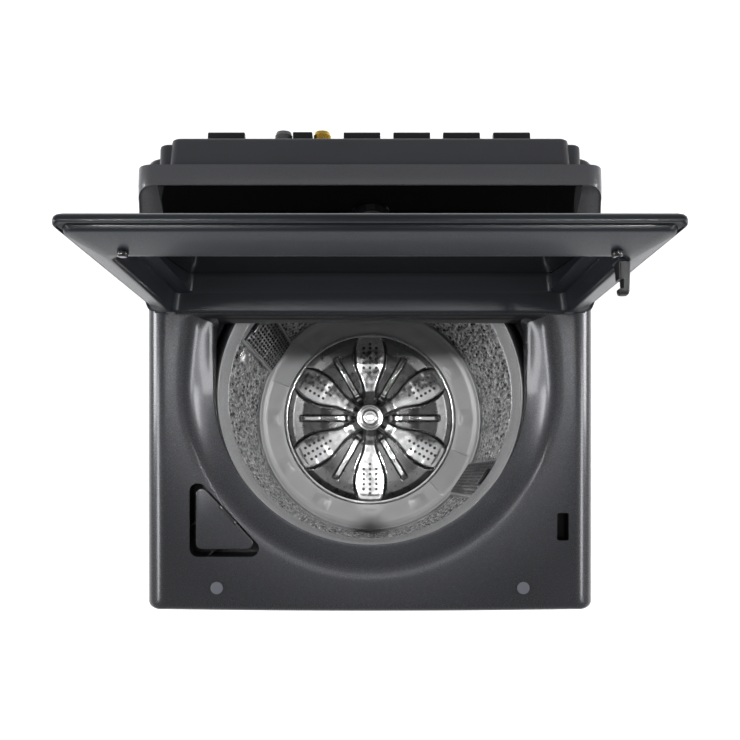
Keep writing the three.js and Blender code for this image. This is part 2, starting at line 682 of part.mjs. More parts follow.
function cabinetWrap() {
  const [w, front, rear, t] = [CABINET_HALF_WIDTH, CABINET_FRONT_Y, CABINET_REAR_Y, CABINET_SHEET];
  const outside = roundedPolygon([[-w, front], [w, front], [w, rear], [-w, rear]], [14, 14, 2, 2]);
  const inside = roundedPolygon([[t - w, front + t], [w - t, front + t], [w - t, rear - t],
    [t - w, rear - t]], [14 - t, 14 - t, 2 - t, 2 - t]);
  const walls = cut(extrude(outside, CABINET_BOTTOM_Z, 1000), extrude(inside, 0, 1100),
    box(-w + 35, w - 35, rear - 10, rear + 10, 0, 1100));
  const plates = rodPlaces.map(([x, y]) => {
    const side = Math.sign(x);
    const plate = box(262, w - t / 2, y - 32, y + 32, ROD.plateZ, ROD.plateZ + 4);
    const web = box(w - 30, w - t / 2, y - 32, y - 28, ROD.plateZ - 40, ROD.plateZ + 1);
    return joined(plate, web).scale(side, 1, 1);
  });
  const holes = rodPlaces.map(([x, y]) => rod(6, 800, 900).translate(x, y, 0));
  const above = onDeck(box(-400, 400, -450, 450, -COVER_SKIRT - GAP, 400));
  return cut(joined(walls, ...plates), above, ...holes);
}

function rearPanel() {
  const y = CABINET_REAR_Y + GAP;
  const sheet = alongY(rectangle(-337, 54, 337, 972, 6), y, y + PANEL_SHEET);
  const beads = [-210, 210].map((x) => alongY(rectangle(x - 12, 120, x + 12, 800, 10), y, y + 3));
  const boss = alongY(rectangle(-90, 180, 90, 460, 20), y, y + 2.5);
  return joined(sheet, ...beads, boss);
}

const footPlaces = [[-FOOT.x, FOOT.front], [FOOT.x, FOOT.front], [-FOOT.x, FOOT.rear],
  [FOOT.x, FOOT.rear]];

function baseFrame() {
  const [w, front, rear] = [338.9, CABINET_FRONT_Y + 2.2, CABINET_REAR_Y - 2.2];
  const outside = extrude(rectangle(-w, front, w, rear, 12), ...BASE_Z);
  const inside = extrude(rectangle(-w + 50, front + 50, w - 50, rear - 50, 30), 0, 100);
  const holes = footPlaces.map(([x, y]) => rod(6.4, 0, 100).translate(x, y, 0));
  return cut(outside, inside, ...holes);
}

function levelingFoot([x, y]) {
  const profile = [[0, 0], [20, 0], [22, 3], [20, 10], [9, 15], [6, 16], [6, 66], [0, 66]];
  return turned(profile, SMALL_ROUND).translate(x, y, 0);
}

function cordGland() {
  const y = CABINET_REAR_Y + 2 * GAP + PANEL_SHEET;
  const profile = ringProfile([[4.2, y], [13, y], [13, y + 4], [8.5, y + 5], [7, y + 22],
    [4.2, y + 22]]);
  return turned(profile, SMALL_ROUND).rotateX(-Math.PI / 2).translate(-270, 0, 930);
}

function drainOutlet() {
  const y = CABINET_REAR_Y + 2 * GAP + PANEL_SHEET;
  const profile = ringProfile([[12, y], [22, y], [22, y + 3], [15, y + 4], [14.5, y + 18],
    [16, y + 20], [14.5, y + 26], [12, y + 26]]);
  return turned(profile, SMALL_ROUND).rotateX(-Math.PI / 2).translate(270, 0, 900);
}

addPart('cabinet_wrap', cabinetWrap(), 'enamel');
addPart('rear_panel', rearPanel(), 'zinc');
addPart('base_frame', baseFrame(), 'blackPlastic');
footPlaces.forEach((place, i) => addPart(`leveling_foot_${i + 1}`, levelingFoot(place), 'rubber'));
addPart('power_cord_gland', cordGland(), 'blackPlastic');
addPart('drain_outlet', drainOutlet(), 'greyPlastic');

// ---- Tub and suspension ---------------------------------------------------------------------

function outerTub() {
  const [outer, inner] = [TUB_R, TUB_R - TUB_WALL];
  const shell = turned(ringProfile([
    [46, TUB_BOTTOM_Z], [outer - 9, TUB_BOTTOM_Z], [outer, TUB_BOTTOM_Z + 10], [outer, TUB_TOP_Z],
    [inner, TUB_TOP_Z], [inner, TUB_BOTTOM_Z + 13], [inner - 8, TUB_BOTTOM_Z + 6],
    [46, TUB_BOTTOM_Z + 6]]));
  const reach = Math.hypot(ROD.x, ROD.y);
  const ears = rodPlaces.map(([x, y]) => box(outer - 2, reach + 20, -22, 22, EAR_Z, EAR_Z + 8)
    .rotateZ(Math.atan2(y - DRUM_Y, x)));
  const holes = rodPlaces.map(([x, y]) => rod(9, EAR_Z - 10, EAR_Z + 20)
    .translate(x, y - DRUM_Y, 0));
  return atDrum(cut(joined(shell, ...ears), ...holes));
}

function tubCoverRing() {
  const [r, z] = [TUB_R, TUB_TOP_Z + GAP];
  return atDrum(turned(ringProfile([[262, z + 3], [270, z], [r, z], [r + 1, z + 4], [r - 4, z + 8],
    [265, z + 8]])));
}

function suspensionRod([x, y]) {
  const { r, cupZ, plateZ } = ROD;
  const seat = plateZ + 4 + GAP;
  const profile = [[0, cupZ - 12], [r + 2, cupZ - 12], [r + 2, cupZ], [20, cupZ], [20, cupZ + 6],
    [r, cupZ + 6], [r, seat], [9, seat], [6, seat + 9], [0, seat + 9]];
  return turned(profile, 8).translate(x, y, 0);
}

function suspensionSpring([x, y]) {
  const [low, high] = [ROD.cupZ + 6 + GAP, EAR_Z - GAP];
  return turned(ringProfile([[11, low], [17, low], [17, high], [11, high]]), SMALL_ROUND)
    .translate(x, y, 0);
}

function bearingHousing() {
  const top = TUB_BOTTOM_Z - GAP;
  const bore = SPIN_TUBE_R + 0.6;
  return atDrum(turned(ringProfile([[bore, 196], [60, 196], [60, 206], [110, 206], [110, top],
    [45.5, top], [45.5, 236], [bore, 236]]), 32));
}

function motorStator() {
  const shape = new THREE.Shape();
  const step = (2 * Math.PI) / STATOR_TEETH;
  for (let i = 0; i < STATOR_TEETH; i += 1) {
    const corners = [[96, -0.28], [128, -0.34], [128, 0.34], [96, 0.28]];
    corners.forEach(([r, part], k) => {
      const angle = (i + part) * step;
      const place = [r * Math.cos(angle), r * Math.sin(angle)];
      if (i === 0 && k === 0) shape.moveTo(...place);
      else shape.lineTo(...place);
    });
  }
  shape.closePath();
  const core = extrude(shape, 152, 196 - GAP);
  return atDrum(cut(core, rod(58, 100, 300, 24)));
}

function drainPump() {
  const top = TUB_BOTTOM_Z - GAP;
  const body = turned([[0, 150], [34, 150], [38, 156], [38, 190], [44, 192], [44, top],
    [0, top]], 20);
  const spout = rodAlongX(11, 0, 74, 0, 204, 12);
  return joined(body, spout).translate(165, DRUM_Y - 160, 0);
}

addPart('outer_tub', outerTub(), 'tubPlastic');
addPart('tub_cover_ring', tubCoverRing(), 'tubPlastic');
addPart('bearing_housing', bearingHousing(), 'steel');
addPart('motor_stator', motorStator(), 'copper');
addPart('drain_pump', drainPump(), 'blackPlastic');
rodPlaces.forEach((place, i) => {
  addPart(`suspension_rod_${i + 1}`, suspensionRod(place), 'steel');
  addPart(`suspension_spring_${i + 1}`, suspensionSpring(place), 'steel');
});

// ---- Basket ---------------------------------------------------------------------------------

function basketWall() {
  const [outer, inner] = [BASKET_R, BASKET_R - BASKET_SHEET];
  return atDrum(turned(ringProfile([[inner, BASKET_BOTTOM_Z], [outer, BASKET_BOTTOM_Z],
    [outer, RING_BOTTOM_Z - GAP], [inner, RING_BOTTOM_Z - GAP]])));
}

function basketBase() {
  const bore = SPIN_TUBE_R + 0.5;
  return atDrum(turned(ringProfile([
    [bore, 270.3], [60, 270.3], [70, 281], [BASE_RING_R, 286], [234, 297], [250.5, 318],
    [250.5, 332], [246.5, 332], [240, 308], [BASE_RING_R, 303], [BASE_RING_R - 1, 292],
    [bore, 286]])));
}

function balanceRing() {
  return atDrum(turned(ringProfile([
    [RING_OUTER_R - 6, RING_BOTTOM_Z], [RING_OUTER_R, RING_BOTTOM_Z + 14],
    [RING_OUTER_R, RING_TOP_Z - 5], [RING_OUTER_R - 4, RING_TOP_Z - 1], [247, RING_TOP_Z],
    [241, 898], [235, 884], [RING_INNER_R, 872], [RING_INNER_R, 858], [236, RING_BOTTOM_Z]])));
}

function spinTube() {
  const [inner, outer] = [SHAFT_R + 0.6, SPIN_TUBE_R];
  return atDrum(turned(ringProfile([[inner, 188], [outer, 188], [outer, 262], [44, 262], [44, 270],
    [outer, 270], [outer, 286], [inner, 286]]), 24));
}

function lintFilter(degrees) {
  const half = THREE.MathUtils.degToRad(FILTER_HALF_ANGLE);
  const outer = BASKET_R - BASKET_SHEET - 1;
  const shape = new THREE.Shape();
  shape.absarc(0, 0, outer, -half, half);
  shape.absarc(0, 0, FILTER_FACE_R, half * 0.9, -half * 0.9, true);
  return atDrum(extrude(shape, ...FILTER_Z, 6).rotateZ(THREE.MathUtils.degToRad(degrees)));
}

addPart('basket_wall', basketWall(), 'stainless');
addPart('basket_base', basketBase(), 'tubPlastic');
addPart('balance_ring', balanceRing(), 'greyPlastic');
addPart('spin_tube', spinTube(), 'steel');
Object.entries(FILTER_ANGLES).forEach(([name, degrees]) =>
  addPart(name, lintFilter(degrees), 'greyPlastic'));

// ---- Impeller and direct drive --------------------------------------------------------------

function impeller() {
  const [r, z, bore] = [IMPELLER_R, IMPELLER_Z, SHAFT_R + 0.4];
  const disc = turned(ringProfile([[bore, z], [r - 6, z], [r, z + 3], [r, z + 9], [r - 8, z + 11],
    [150, z + 7], [80, z + 13], [44, z + 26], [38, z + 31], [bore, z + 31]]));
  const petals = Array.from({ length: PETALS }, (_, i) => new THREE.SphereGeometry(1, 10, 6)
    .rotateX(Math.PI / 2)
    .scale(60, 33, 18)
    .translate(122, 0, z + 9)
    .rotateZ(Math.PI / 6 + (i * 2 * Math.PI) / PETALS));
  const below = turned([[0, z - 40], [r + 20, z - 40], [r + 20, z], [0, z]], 24);
  return atDrum(cut(joined(disc, ...petals), below));
}

const impellerCap = () => atDrum(turned([[0, 326.3], [36, 326.3], [36, 330], [30, 336],
  [16, 339], [0, 339.5]], 32));

const driveShaft = () => atDrum(turned([[0, 126], [6, 126], [6, 130], [SHAFT_R, 130],
  [SHAFT_R, 322], [0, 322]]));

function motorRotor() {
  const [r, bore] = [ROTOR_R, SHAFT_R + 0.3];
  return atDrum(turned(ringProfile([[bore, 132], [30, 132], [r - 12, 132], [r, 144], [r, 200],
    [r - 12, 200], [r - 12, 146], [r - 18, 140], [30, 140], [30, 150], [bore, 150]]), 28));
}

addPart('impeller', impeller(), 'stainless');
addPart('impeller_cap', impellerCap(), 'stainless');
addPart('drive_shaft', driveShaft(), 'steel');
addPart('motor_rotor', motorRotor(), 'zinc');

export default machine;
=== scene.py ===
"""Looks of the top load washing machine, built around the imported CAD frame.

Shapes are worked out in millimetres and turned into metres when a mesh is made.
"""

import math

import bmesh
import bpy
from mathutils import Matrix, Vector


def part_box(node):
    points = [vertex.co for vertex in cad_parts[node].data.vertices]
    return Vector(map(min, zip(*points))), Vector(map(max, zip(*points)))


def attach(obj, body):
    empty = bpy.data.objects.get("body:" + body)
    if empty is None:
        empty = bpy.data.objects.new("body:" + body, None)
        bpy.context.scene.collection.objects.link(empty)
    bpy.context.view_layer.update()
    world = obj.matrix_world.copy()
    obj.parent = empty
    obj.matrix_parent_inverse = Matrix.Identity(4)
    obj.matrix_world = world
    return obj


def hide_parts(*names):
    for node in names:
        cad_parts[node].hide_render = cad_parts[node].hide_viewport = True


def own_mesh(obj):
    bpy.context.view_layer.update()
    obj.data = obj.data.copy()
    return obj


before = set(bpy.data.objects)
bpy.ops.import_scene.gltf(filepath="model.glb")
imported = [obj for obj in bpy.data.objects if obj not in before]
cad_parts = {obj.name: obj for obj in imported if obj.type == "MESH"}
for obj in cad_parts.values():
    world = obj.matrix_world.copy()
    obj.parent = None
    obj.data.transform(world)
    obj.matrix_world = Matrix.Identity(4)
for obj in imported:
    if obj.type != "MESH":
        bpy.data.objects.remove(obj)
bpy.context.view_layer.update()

MM = 0.001

# ---- Camera: almost straight above, pitched a little towards the back

CAMERA_PLACE = (0, -0.168, 2.4564)
CAMERA_PITCH = 6.75
CAMERA_LENS = 47.29


def make_camera():
    data = bpy.data.cameras.new("camera")
    data.lens = CAMERA_LENS
    data.sensor_width = 36
    camera = bpy.data.objects.new("camera", data)
    camera.location = CAMERA_PLACE
    camera.rotation_euler = (math.radians(CAMERA_PITCH), 0, 0)
    bpy.context.collection.objects.link(camera)
    bpy.context.scene.camera = camera


make_camera()

# ---- Sizes, in millimetres, as in the frame


def high_corner(node):
    return [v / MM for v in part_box(node)[1]]


# Gap between the deck's skirt and the cabinet, and height of the console above the deck.
SEAM = 0.3
STAND = 0.6

# Deck: its face slopes down to the front, and s runs to the rear in that face.
DECK_TILT = math.radians(6.75)
HALF_WIDTH = high_corner("top_cover")[0]
DECK_FRONT_Y = -360
DECK_FRONT_Z = 938.4
DECK_FRONT = -363.7
DECK_REAR = 330.3
FLAT_HALF = 311
SHOULDER_DROP = 26
FRONT_ROLL = 10
SKIRT = 42
SKIN = 2.5

# Bowl in the deck, round the drum axis.
DRUM_Y = -21
WALL_R = 251.6
BOWL_RIM_R = 284
BOWL_ROLL = 14
BOWL_LEDGE_R = 247
BOWL_LEDGE = 28
BOWL_LIP_R = 243
BOWL_LIP_Z = 914
BOWL_BACK_Y = 90
BOWL_BULGE = 0.27
BOWL_WALL = 3

# Lid, standing open on two hinges; its glass curves upwards from its foot.
LID_HINGE_X, LID_HINGE_Y, LID_HINGE_Z = 317.3, 98, 1007
PANE_BOTTOM = 1026
PANE_FOOT_Y = 147.5
PANE_LEAN = 0.0963
PANE_CURVE = 0.0000496
PANE_T = 4

# Console with a sloping face, and the cover behind it.
CONSOLE_TOP = high_corner("console_housing")[2]
CONSOLE_CREST_Y = 252
CONSOLE_REAR_Y = 282.6
CONSOLE_HALF = 331
CONSOLE_FOOT_HALF = 343
CONSOLE_BEND_Z = 1040
CONSOLE_CORNER = 25
FACE_RUN, FACE_RISE = 88, 124
FACE_MID_Y, FACE_MID_Z = 208, 1068


def deck_z(y):
    return DECK_FRONT_Z + math.tan(DECK_TILT) * (y - DECK_FRONT_Y)


DECK_MATRIX = Matrix.Translation((0, 0, deck_z(0))) @ Matrix.Rotation(DECK_TILT, 4, "X")
DRUM_S = DRUM_Y / math.cos(DECK_TILT)

FACE_UP = Vector((0, FACE_RUN, FACE_RISE)).normalized()
FACE_OUT = Vector((0, -FACE_UP.z, FACE_UP.y))
FACE_MATRIX = Matrix((
    (1, FACE_UP.x, FACE_OUT.x, 0),
    (0, FACE_UP.y, FACE_OUT.y, FACE_MID_Y),
    (0, FACE_UP.z, FACE_OUT.z, FACE_MID_Z),
    (0, 0, 0, 1),
))

# ---- Materials


class Nodes:
    """A short way to write the node tree of a material or a world."""

    def __init__(self, name, kind="materials", space="Object"):
        self.owner = getattr(bpy.data, kind).new(name)
        self.owner.use_nodes = True
        self.tree = self.owner.node_tree
        self.coords = self.add("ShaderNodeTexCoord").outputs[space]

    def feed(self, node, inputs):
        """Sets inputs of a node, or links them to outputs of other nodes."""
        for key, value in inputs.items():
            if isinstance(value, bpy.types.NodeSocket):
                self.tree.links.new(value, node.inputs[key])
            else:
                node.inputs[key].default_value = value

    def add(self, kind, inputs=None, **settings):
        node = self.tree.nodes.new(kind)
        for key, value in settings.items():
            setattr(node, key, value)
        self.feed(node, inputs or {})
        return node

    def noise(self, scale, detail, stretch=(1, 1, 1)):
        mapping = self.add("ShaderNodeMapping", {"Vector": self.coords, "Scale": stretch})
        vector = mapping.outputs["Vector"]
        noise = self.add("ShaderNodeTexNoise", {"Vector": vector, "Scale": scale, "Detail": detail})
        return noise.outputs["Fac"]

    def ramp(self, source, low, high, start=0.35, end=0.65):
        """Maps a 0 to 1 value to a colour or grey between low and high."""
        ramp = self.add("ShaderNodeValToRGB", {"Fac": source})
        for stop, place, value in zip(ramp.color_ramp.elements, (start, end), (low, high)):
            stop.position = place
            stop.color = value if isinstance(value, tuple) else (value, value, value, 1)
        return ramp.outputs["Color"]

    def bump(self, height, strength, distance):
        inputs = {"Height": height, "Strength": strength, "Distance": distance}
        return self.add("ShaderNodeBump", inputs).outputs["Normal"]

    def calculate(self, operation, first, second):
        return self.add("ShaderNodeMath", {0: first, 1: second}, operation=operation).outputs[0]

    def finish(self, inputs, shader="Principled BSDF"):
        """Feeds the shader and hands over the material or world."""
        self.feed(self.tree.nodes[shader], inputs)
        return self.owner


def shade(color, change):
    return tuple(min(1, c * change) for c in color[:3]) + (1,)


def surface(name, color, roughness, metallic=0.0, grain=600, grain_bump=0.05, vary=0.06,
            rough_vary=0.06, stretch=(1, 1, 1), coat=0.0, specular=0.5):
    """A solid finish with drifting tone, uneven gloss and a fine grain."""
    n = Nodes(name)
    fine = n.noise(grain, 3, stretch)
    return n.finish({
        "Base Color": n.ramp(n.noise(9, 3), shade(color, 1 - vary), shade(color, 1 + vary)),
        "Roughness": n.ramp(fine, roughness - rough_vary, roughness + rough_vary, 0.3, 0.7),
        "Normal": n.bump(fine, grain_bump, 0.0004),
        "Metallic": metallic,
        "Specular IOR Level": specular,
        "Coat Weight": coat,
        "Coat Roughness": 0.08,
    })


def sparkle_paint(name, color, roughness, fleck, amount, scale=1500):
    """Dark paint with a fine metallic fleck."""
    n = Nodes(name)
    cells = n.add("ShaderNodeTexVoronoi", {"Vector": n.coords, "Scale": scale}).outputs["Distance"]
    bright = n.ramp(cells, 1.0, 0.0, 0.08, 0.3)
    patches = n.ramp(n.noise(scale * 0.35, 2), 0.0, amount, 0.5, 0.62)
    mix = n.add("ShaderNodeMix", {
        "Factor": n.calculate("MULTIPLY", bright, patches),
        "A": n.ramp(n.noise(7, 3), shade(color, 0.95), shade(color, 1.06)),
        "B": shade(fleck, 1),
    }, data_type="RGBA")
    return n.finish({
        "Base Color": mix.outputs["Result"],
        "Roughness": n.ramp(n.noise(500, 3), roughness - 0.04, roughness + 0.05),
        "Normal": n.bump(cells, 0.12, 0.0002),
        "Metallic": 0.2,
        "Coat Weight": 0.1,
        "Coat Roughness": 0.12,
    })


def dark_glass(name, color):
    """Opaque dark glass, slightly uneven in gloss."""
    n = Nodes(name)
    return n.finish({
        "Base Color": n.ramp(n.noise(5, 2), shade(color, 0.9), shade(color, 1.1)),
        "Roughness": n.ramp(n.noise(40, 2), 0.015, 0.03),
        "IOR": 1.52,
        "Specular IOR Level": 0.5,
    })


def polished_steel(name, tone, roughness, brush):
    """Bright metal, slightly uneven in tone and gloss, with a fine grain."""
    n = Nodes(name)
    return n.finish({
        "Base Color": n.ramp(n.noise(14, 4), shade((tone,) * 3, 0.92), shade((tone,) * 3, 1.05)),
        "Roughness": n.ramp(n.noise(90, 5), roughness - 0.04, roughness + 0.06),
        "Normal": n.bump(n.noise(450, 3), brush, 0.0003),
        "Metallic": 1.0,
    })


def drum_steel(name):
    """Drum sheet with a pattern of cells, laid round the drum axis and stretched upright. The cells
    also paint its tone from near black in their middles to white around them: painted shade in the
    dimples and painted glints between them.
    """
    n = Nodes(name)
    split = n.add("ShaderNodeSeparateXYZ", {"Vector": n.coords}).outputs
    depth = n.calculate("SUBTRACT", split["Y"], DRUM_Y * MM)
    angle = n.calculate("ARCTAN2", depth, split["X"])
    flat = n.add("ShaderNodeCombineXYZ", {
        "X": n.calculate("MULTIPLY", angle, WALL_R * MM),
        "Y": n.calculate("MULTIPLY", split["Z"], 0.22),
    })
    cells = n.add("ShaderNodeTexVoronoi", {
        "Vector": flat.outputs["Vector"],
        "Scale": 100,
        "Randomness": 0.75,
    }, voronoi_dimensions="2D").outputs["Distance"]
    return n.finish({
        # Painted shade and painted glints: the tone runs from near black in the dimples to white
        # between them.
        "Base Color": n.ramp(cells, 0.02, 1.0, 0.14, 0.36),
        "Roughness": n.ramp(n.noise(90, 4), 0.18, 0.3),
        "Normal": n.bump(cells, 1.0, 0.02),
        "Metallic": 0.5,
    })


CHARCOAL = (0.056, 0.057, 0.063)
MATERIALS = {
    "enamel": surface("enamel_charcoal", CHARCOAL, 0.26, 0.35, 900, 0.04, 0.03, coat=0.2),
    "cabinet": surface("cabinet_charcoal", CHARCOAL, 0.34, 0.4, 500, 0.05, 0.04, 0.05,
                       (0.15, 0.15, 3), coat=0.15),
    "rear_enamel": surface("enamel_console", (0.12, 0.121, 0.13), 0.3, 0.2, 900, 0.04, 0.03,
                           coat=0.2),
    "rear_charcoal": surface("cover_charcoal", (0.052, 0.053, 0.060), 0.4, 0, 700, 0.08, 0.04),
    "charcoal": surface("lid_charcoal", (0.018, 0.021, 0.026), 0.33, 0, 900, 0.05, 0.04,
                        coat=0.08, specular=0.3),
    "band": sparkle_paint("lid_band", (0.024, 0.027, 0.034), 0.38, (0.4, 0.42, 0.46), 0.5),
    "lid_glass": dark_glass("lid_glass_dark", (0.006, 0.0065, 0.007)),
    "console_glass": dark_glass("console_glass_black", (0.003, 0.003, 0.0035)),
    "black_gloss": surface("gloss_black", (0.004, 0.004, 0.005), 0.09, 0, 300, 0.01, 0.1, 0.02,
                           coat=0.5),
    # black_plastic also serves as painted shade: at the back and on the low wall of the bowl, on the
    # balance ring's outer band and in the impeller's holes.
    "black_plastic": surface("black_moulding", (0.010, 0.010, 0.012), 0.45, 0, 1200, 0.2),
    "grey_plastic": surface("grey_moulding", (0.20, 0.20, 0.205), 0.34, 0, 1100, 0.06),
    "ring_plastic": surface("ring_moulding", (0.38, 0.38, 0.385), 0.26, 0, 900, 0.04, coat=0.3),
    "base_plastic": surface("base_moulding", (0.40, 0.40, 0.405), 0.36, 0, 900, 0.05),
    "grille_plastic": surface("grille_moulding", (0.04, 0.04, 0.043), 0.4, 0, 1000, 0.1),
    "stainless": polished_steel("polished_stainless", 0.7, 0.15, 0.004),
    "drum_sheet": drum_steel("drum_stainless"),
    # The dish is the petals' steel painted dark, as painted shade for the dark drum that it
    # reflects.
    "painted_dark_dish": polished_steel("painted_shade_dish_metal", 0.07, 0.3, 0.004),
    "steel": polished_steel("turned_steel", 0.5, 0.3, 0.1),
    "zinc": surface("galvanised_sheet", (0.42, 0.43, 0.44), 0.42, 0.9, 60, 0.06, 0.07, 0.12),
    "tub_plastic": surface("tub_moulding", (0.50, 0.50, 0.48), 0.5, 0, 700, 0.1),
    "rubber": surface("black_rubber", (0.018, 0.018, 0.019), 0.75, 0, 1400, 0.3),
    "pad_grey": surface("grey_plug", (0.18, 0.18, 0.21), 0.5, 0, 1200, 0.12),
    "winding": surface("copper_winding", (0.45, 0.17, 0.06), 0.35, 0.9, 800, 0.3, 0.15, 0.08,
                       (1, 1, 8)),
    "brass": surface("turned_brass", (0.80, 0.55, 0.10), 0.3, 0.75, 700, 0.1),
}

# ---- Mesh helpers


def dress(obj, material, body, slot, nodes=(), angle=32):
    """Gives a piece its material, shading, body and the CAD nodes that it stands for; slot is not
    used.
    """
    if isinstance(material, str):
        material = [material]
    obj.data.materials.clear()
    for each in material:
        obj.data.materials.append(MATERIALS[each])
    obj.data.shade_smooth()
    obj.data.set_sharp_from_angle(angle=math.radians(angle))
    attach(obj, body)
    if nodes:
        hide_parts(*nodes)
    return obj


def new_object(name, verts, faces):
    mesh = bpy.data.meshes.new(name)
    mesh.from_pydata([tuple(c * MM for c in v) for v in verts], [], faces)
    shape = bmesh.new()
    shape.from_mesh(mesh)
    bmesh.ops.remove_doubles(shape, verts=shape.verts, dist=1e-6)
    bmesh.ops.recalc_face_normals(shape, faces=shape.faces)
    shape.to_mesh(mesh)
    shape.free()
    obj = bpy.data.objects.new(name, mesh)
    bpy.context.collection.objects.link(obj)
    return obj


def piece(name, body, *looks):
    """Makes and dresses an object in one go."""
    return dress(new_object(name, *body), *looks)


def two_tone(obj, test):
    """Gives the second material to the faces whose centre, in millimetres, passes a test."""
    for polygon in obj.data.polygons:
        if test(*(c / MM for c in polygon.center)):
            polygon.material_index = 1


def circle(radius, count, x=0, y=0):
    angles = [2 * math.pi * i / count for i in range(count)]
    return [(x + radius * math.cos(a), y + radius * math.sin(a)) for a in angles]


def loft(rings, caps=True):
    """Joins rings of points into a body: capped at both ends, or closed on itself."""
    count = len(rings[0])
    verts = [p for ring in rings for p in ring]
    faces = []
    last = len(rings) - 1 if caps else len(rings)
    for k in range(last):
        for i in range(count):
            j = (i + 1) % count
            a, b = k * count, ((k + 1) % len(rings)) * count
            faces.append((a + i, a + j, b + j, b + i))
    if caps:
        faces.append(tuple(range(count)))
        faces.append(tuple((len(rings) - 1) * count + i for i in reversed(range(count))))
    return verts, faces


def merge(*bodies):
    verts, faces = [], []
    for body_verts, body_faces in bodies:
        faces += [tuple(i + len(verts) for i in face) for face in body_faces]
        verts += body_verts
    return verts, faces


def moved(body, matrix):
    return [matrix @ Vector(v) for v in body[0]], body[1]


def revolve(profile, steps):
    """Turns a profile of (radius, height) about Z, from axis to axis or closed on itself."""
    rings = [[(x, y, z) for x, y in circle(r, steps)] for r, z in profile]
    return loft(rings, caps=profile[0][0] == 0)


def along_y(x, z):
    """Lays a shape that stands on Z along Y."""
    return Matrix.Translation((x, 0, z)) @ Matrix.Rotation(-math.pi / 2, 4, "X")


def rounded(profile, radius=1.0, steps=4):
    """Rounds the corners of an open profile of (a, b) points."""
    out = [profile[0]]
    for before, corner, after in zip(profile, profile[1:], profile[2:]):
        b, c, a = Vector(before), Vector(corner), Vector(after)
        reach = min(radius, (b - c).length * 0.45, (a - c).length * 0.45)
        start = c + (b - c).normalized() * reach
        end = c + (a - c).normalized() * reach
        for i in range(steps + 1):
            t = i / steps
            out.append(tuple(start * (1 - t) ** 2 + c * 2 * t * (1 - t) + end * t * t))
    return out + [profile[-1]]


def outline(x0, x1, y0, y1, radius, steps=8, along=12):
    """A rounded rectangle as (x, y, angle) points, always the same number, anticlockwise."""
    corners = ((x1, y1, 0), (x0, y1, 90), (x0, y0, 180), (x1, y0, 270))
    arcs = []
    for x, y, start in corners:
        cx = x - radius if x == x1 else x + radius
        cy = y - radius if y == y1 else y + radius
        arc = []
        for i in range(steps + 1):
            a = math.radians(start + 90 * i / steps)
            arc.append((cx + radius * math.cos(a), cy + radius * math.sin(a), a))
        arcs.append(arc)
    points = []
    for arc, following in zip(arcs, arcs[1:] + arcs[:1]):
        points += arc
        (xa, ya, angle), (xb, yb, _) = arc[-1], following[0]
        for i in range(1, along):
            t = i / along
            points.append((xa + (xb - xa) * t, ya + (yb - ya) * t, angle))
    return points


def flat_outline(*sizes):
    return [(x, y) for x, y, _ in outline(*sizes)]


def box(x0, x1, y0, y1, z0, z1):
    ring = [(x0, y0), (x1, y0), (x1, y1), (x0, y1)]
    return loft([[(x, y, z0) for x, y in ring], [(x, y, z1) for x, y in ring]])


def bevel(obj, width, segments=3):
    modifier = obj.modifiers.new("bevel", "BEVEL")
    modifier.width = width * MM
    modifier.segments = segments
    modifier.limit_method = "ANGLE"
    modifier.angle_limit = math.radians(30)
    apply_modifiers(obj)
    return obj


def apply_modifiers(obj):
    bpy.context.view_layer.update()
    graph = bpy.context.evaluated_depsgraph_get()
    mesh = bpy.data.meshes.new_from_object(obj.evaluated_get(graph))
    obj.modifiers.clear()
    obj.data = mesh


def cut(obj, *bodies):
    """Cuts closed bodies out of a piece."""
    for body in bodies:
        tool = new_object("cutter", *body)
        modifier = obj.modifiers.new("cut", "BOOLEAN")
        modifier.operation = "DIFFERENCE"
        modifier.solver = "EXACT"
        modifier.object = tool
        apply_modifiers(obj)
        bpy.data.objects.remove(tool)
    return obj


def smooth_step(value, low, high):
    t = max(0.0, min(1.0, (value - low) / (high - low)))
    return t * t * (3 - 2 * t)


def between(points, x):
    """Reads the height at x of a line through (x, y) points."""
    if x <= points[0][0]:
        return points[0][1]
    for (xa, ya), (xb, yb) in zip(points, points[1:]):
        if x <= xb:
            return ya + (yb - ya) * (x - xa) / (xb - xa)
    return points[-1][1]


# ---- Top cover


def softer_min(first, second, sharpness=36):
    """The smaller of two distances, with the corner between them rounded."""
    return (first ** -sharpness + second ** -sharpness) ** (-1 / sharpness)


def deck_outline():
    """The edge of the flat deck as (x, s)."""
    return flat_outline(-FLAT_HALF, FLAT_HALF, DECK_FRONT + FRONT_ROLL, DECK_REAR, 10, 8, 56)


def deck_loop(drop, inset=0.0):
    """The deck's outline where the edge has rolled down by drop."""
    share = min(1.0, drop / SHOULDER_DROP)
    half = FLAT_HALF + (HALF_WIDTH - FLAT_HALF) * math.sqrt(1 - (1 - share) ** 2) - inset
    fall = min(1.0, drop / FRONT_ROLL)
    front = DECK_FRONT + FRONT_ROLL * (1 - math.sqrt(1 - (1 - fall) ** 2)) + inset
    loop = []
    for x, s in deck_outline():
        wide = x * half / FLAT_HALF
        if s < 0:
            s = s * front / (DECK_FRONT + FRONT_ROLL)
            s += 3 * (wide / half) ** 2 * smooth_step(-s, 300, 350)
        else:
            s = min(s, DECK_REAR - inset)
        loop.append(DECK_MATRIX @ Vector((wide, s, -drop)))
    return loop


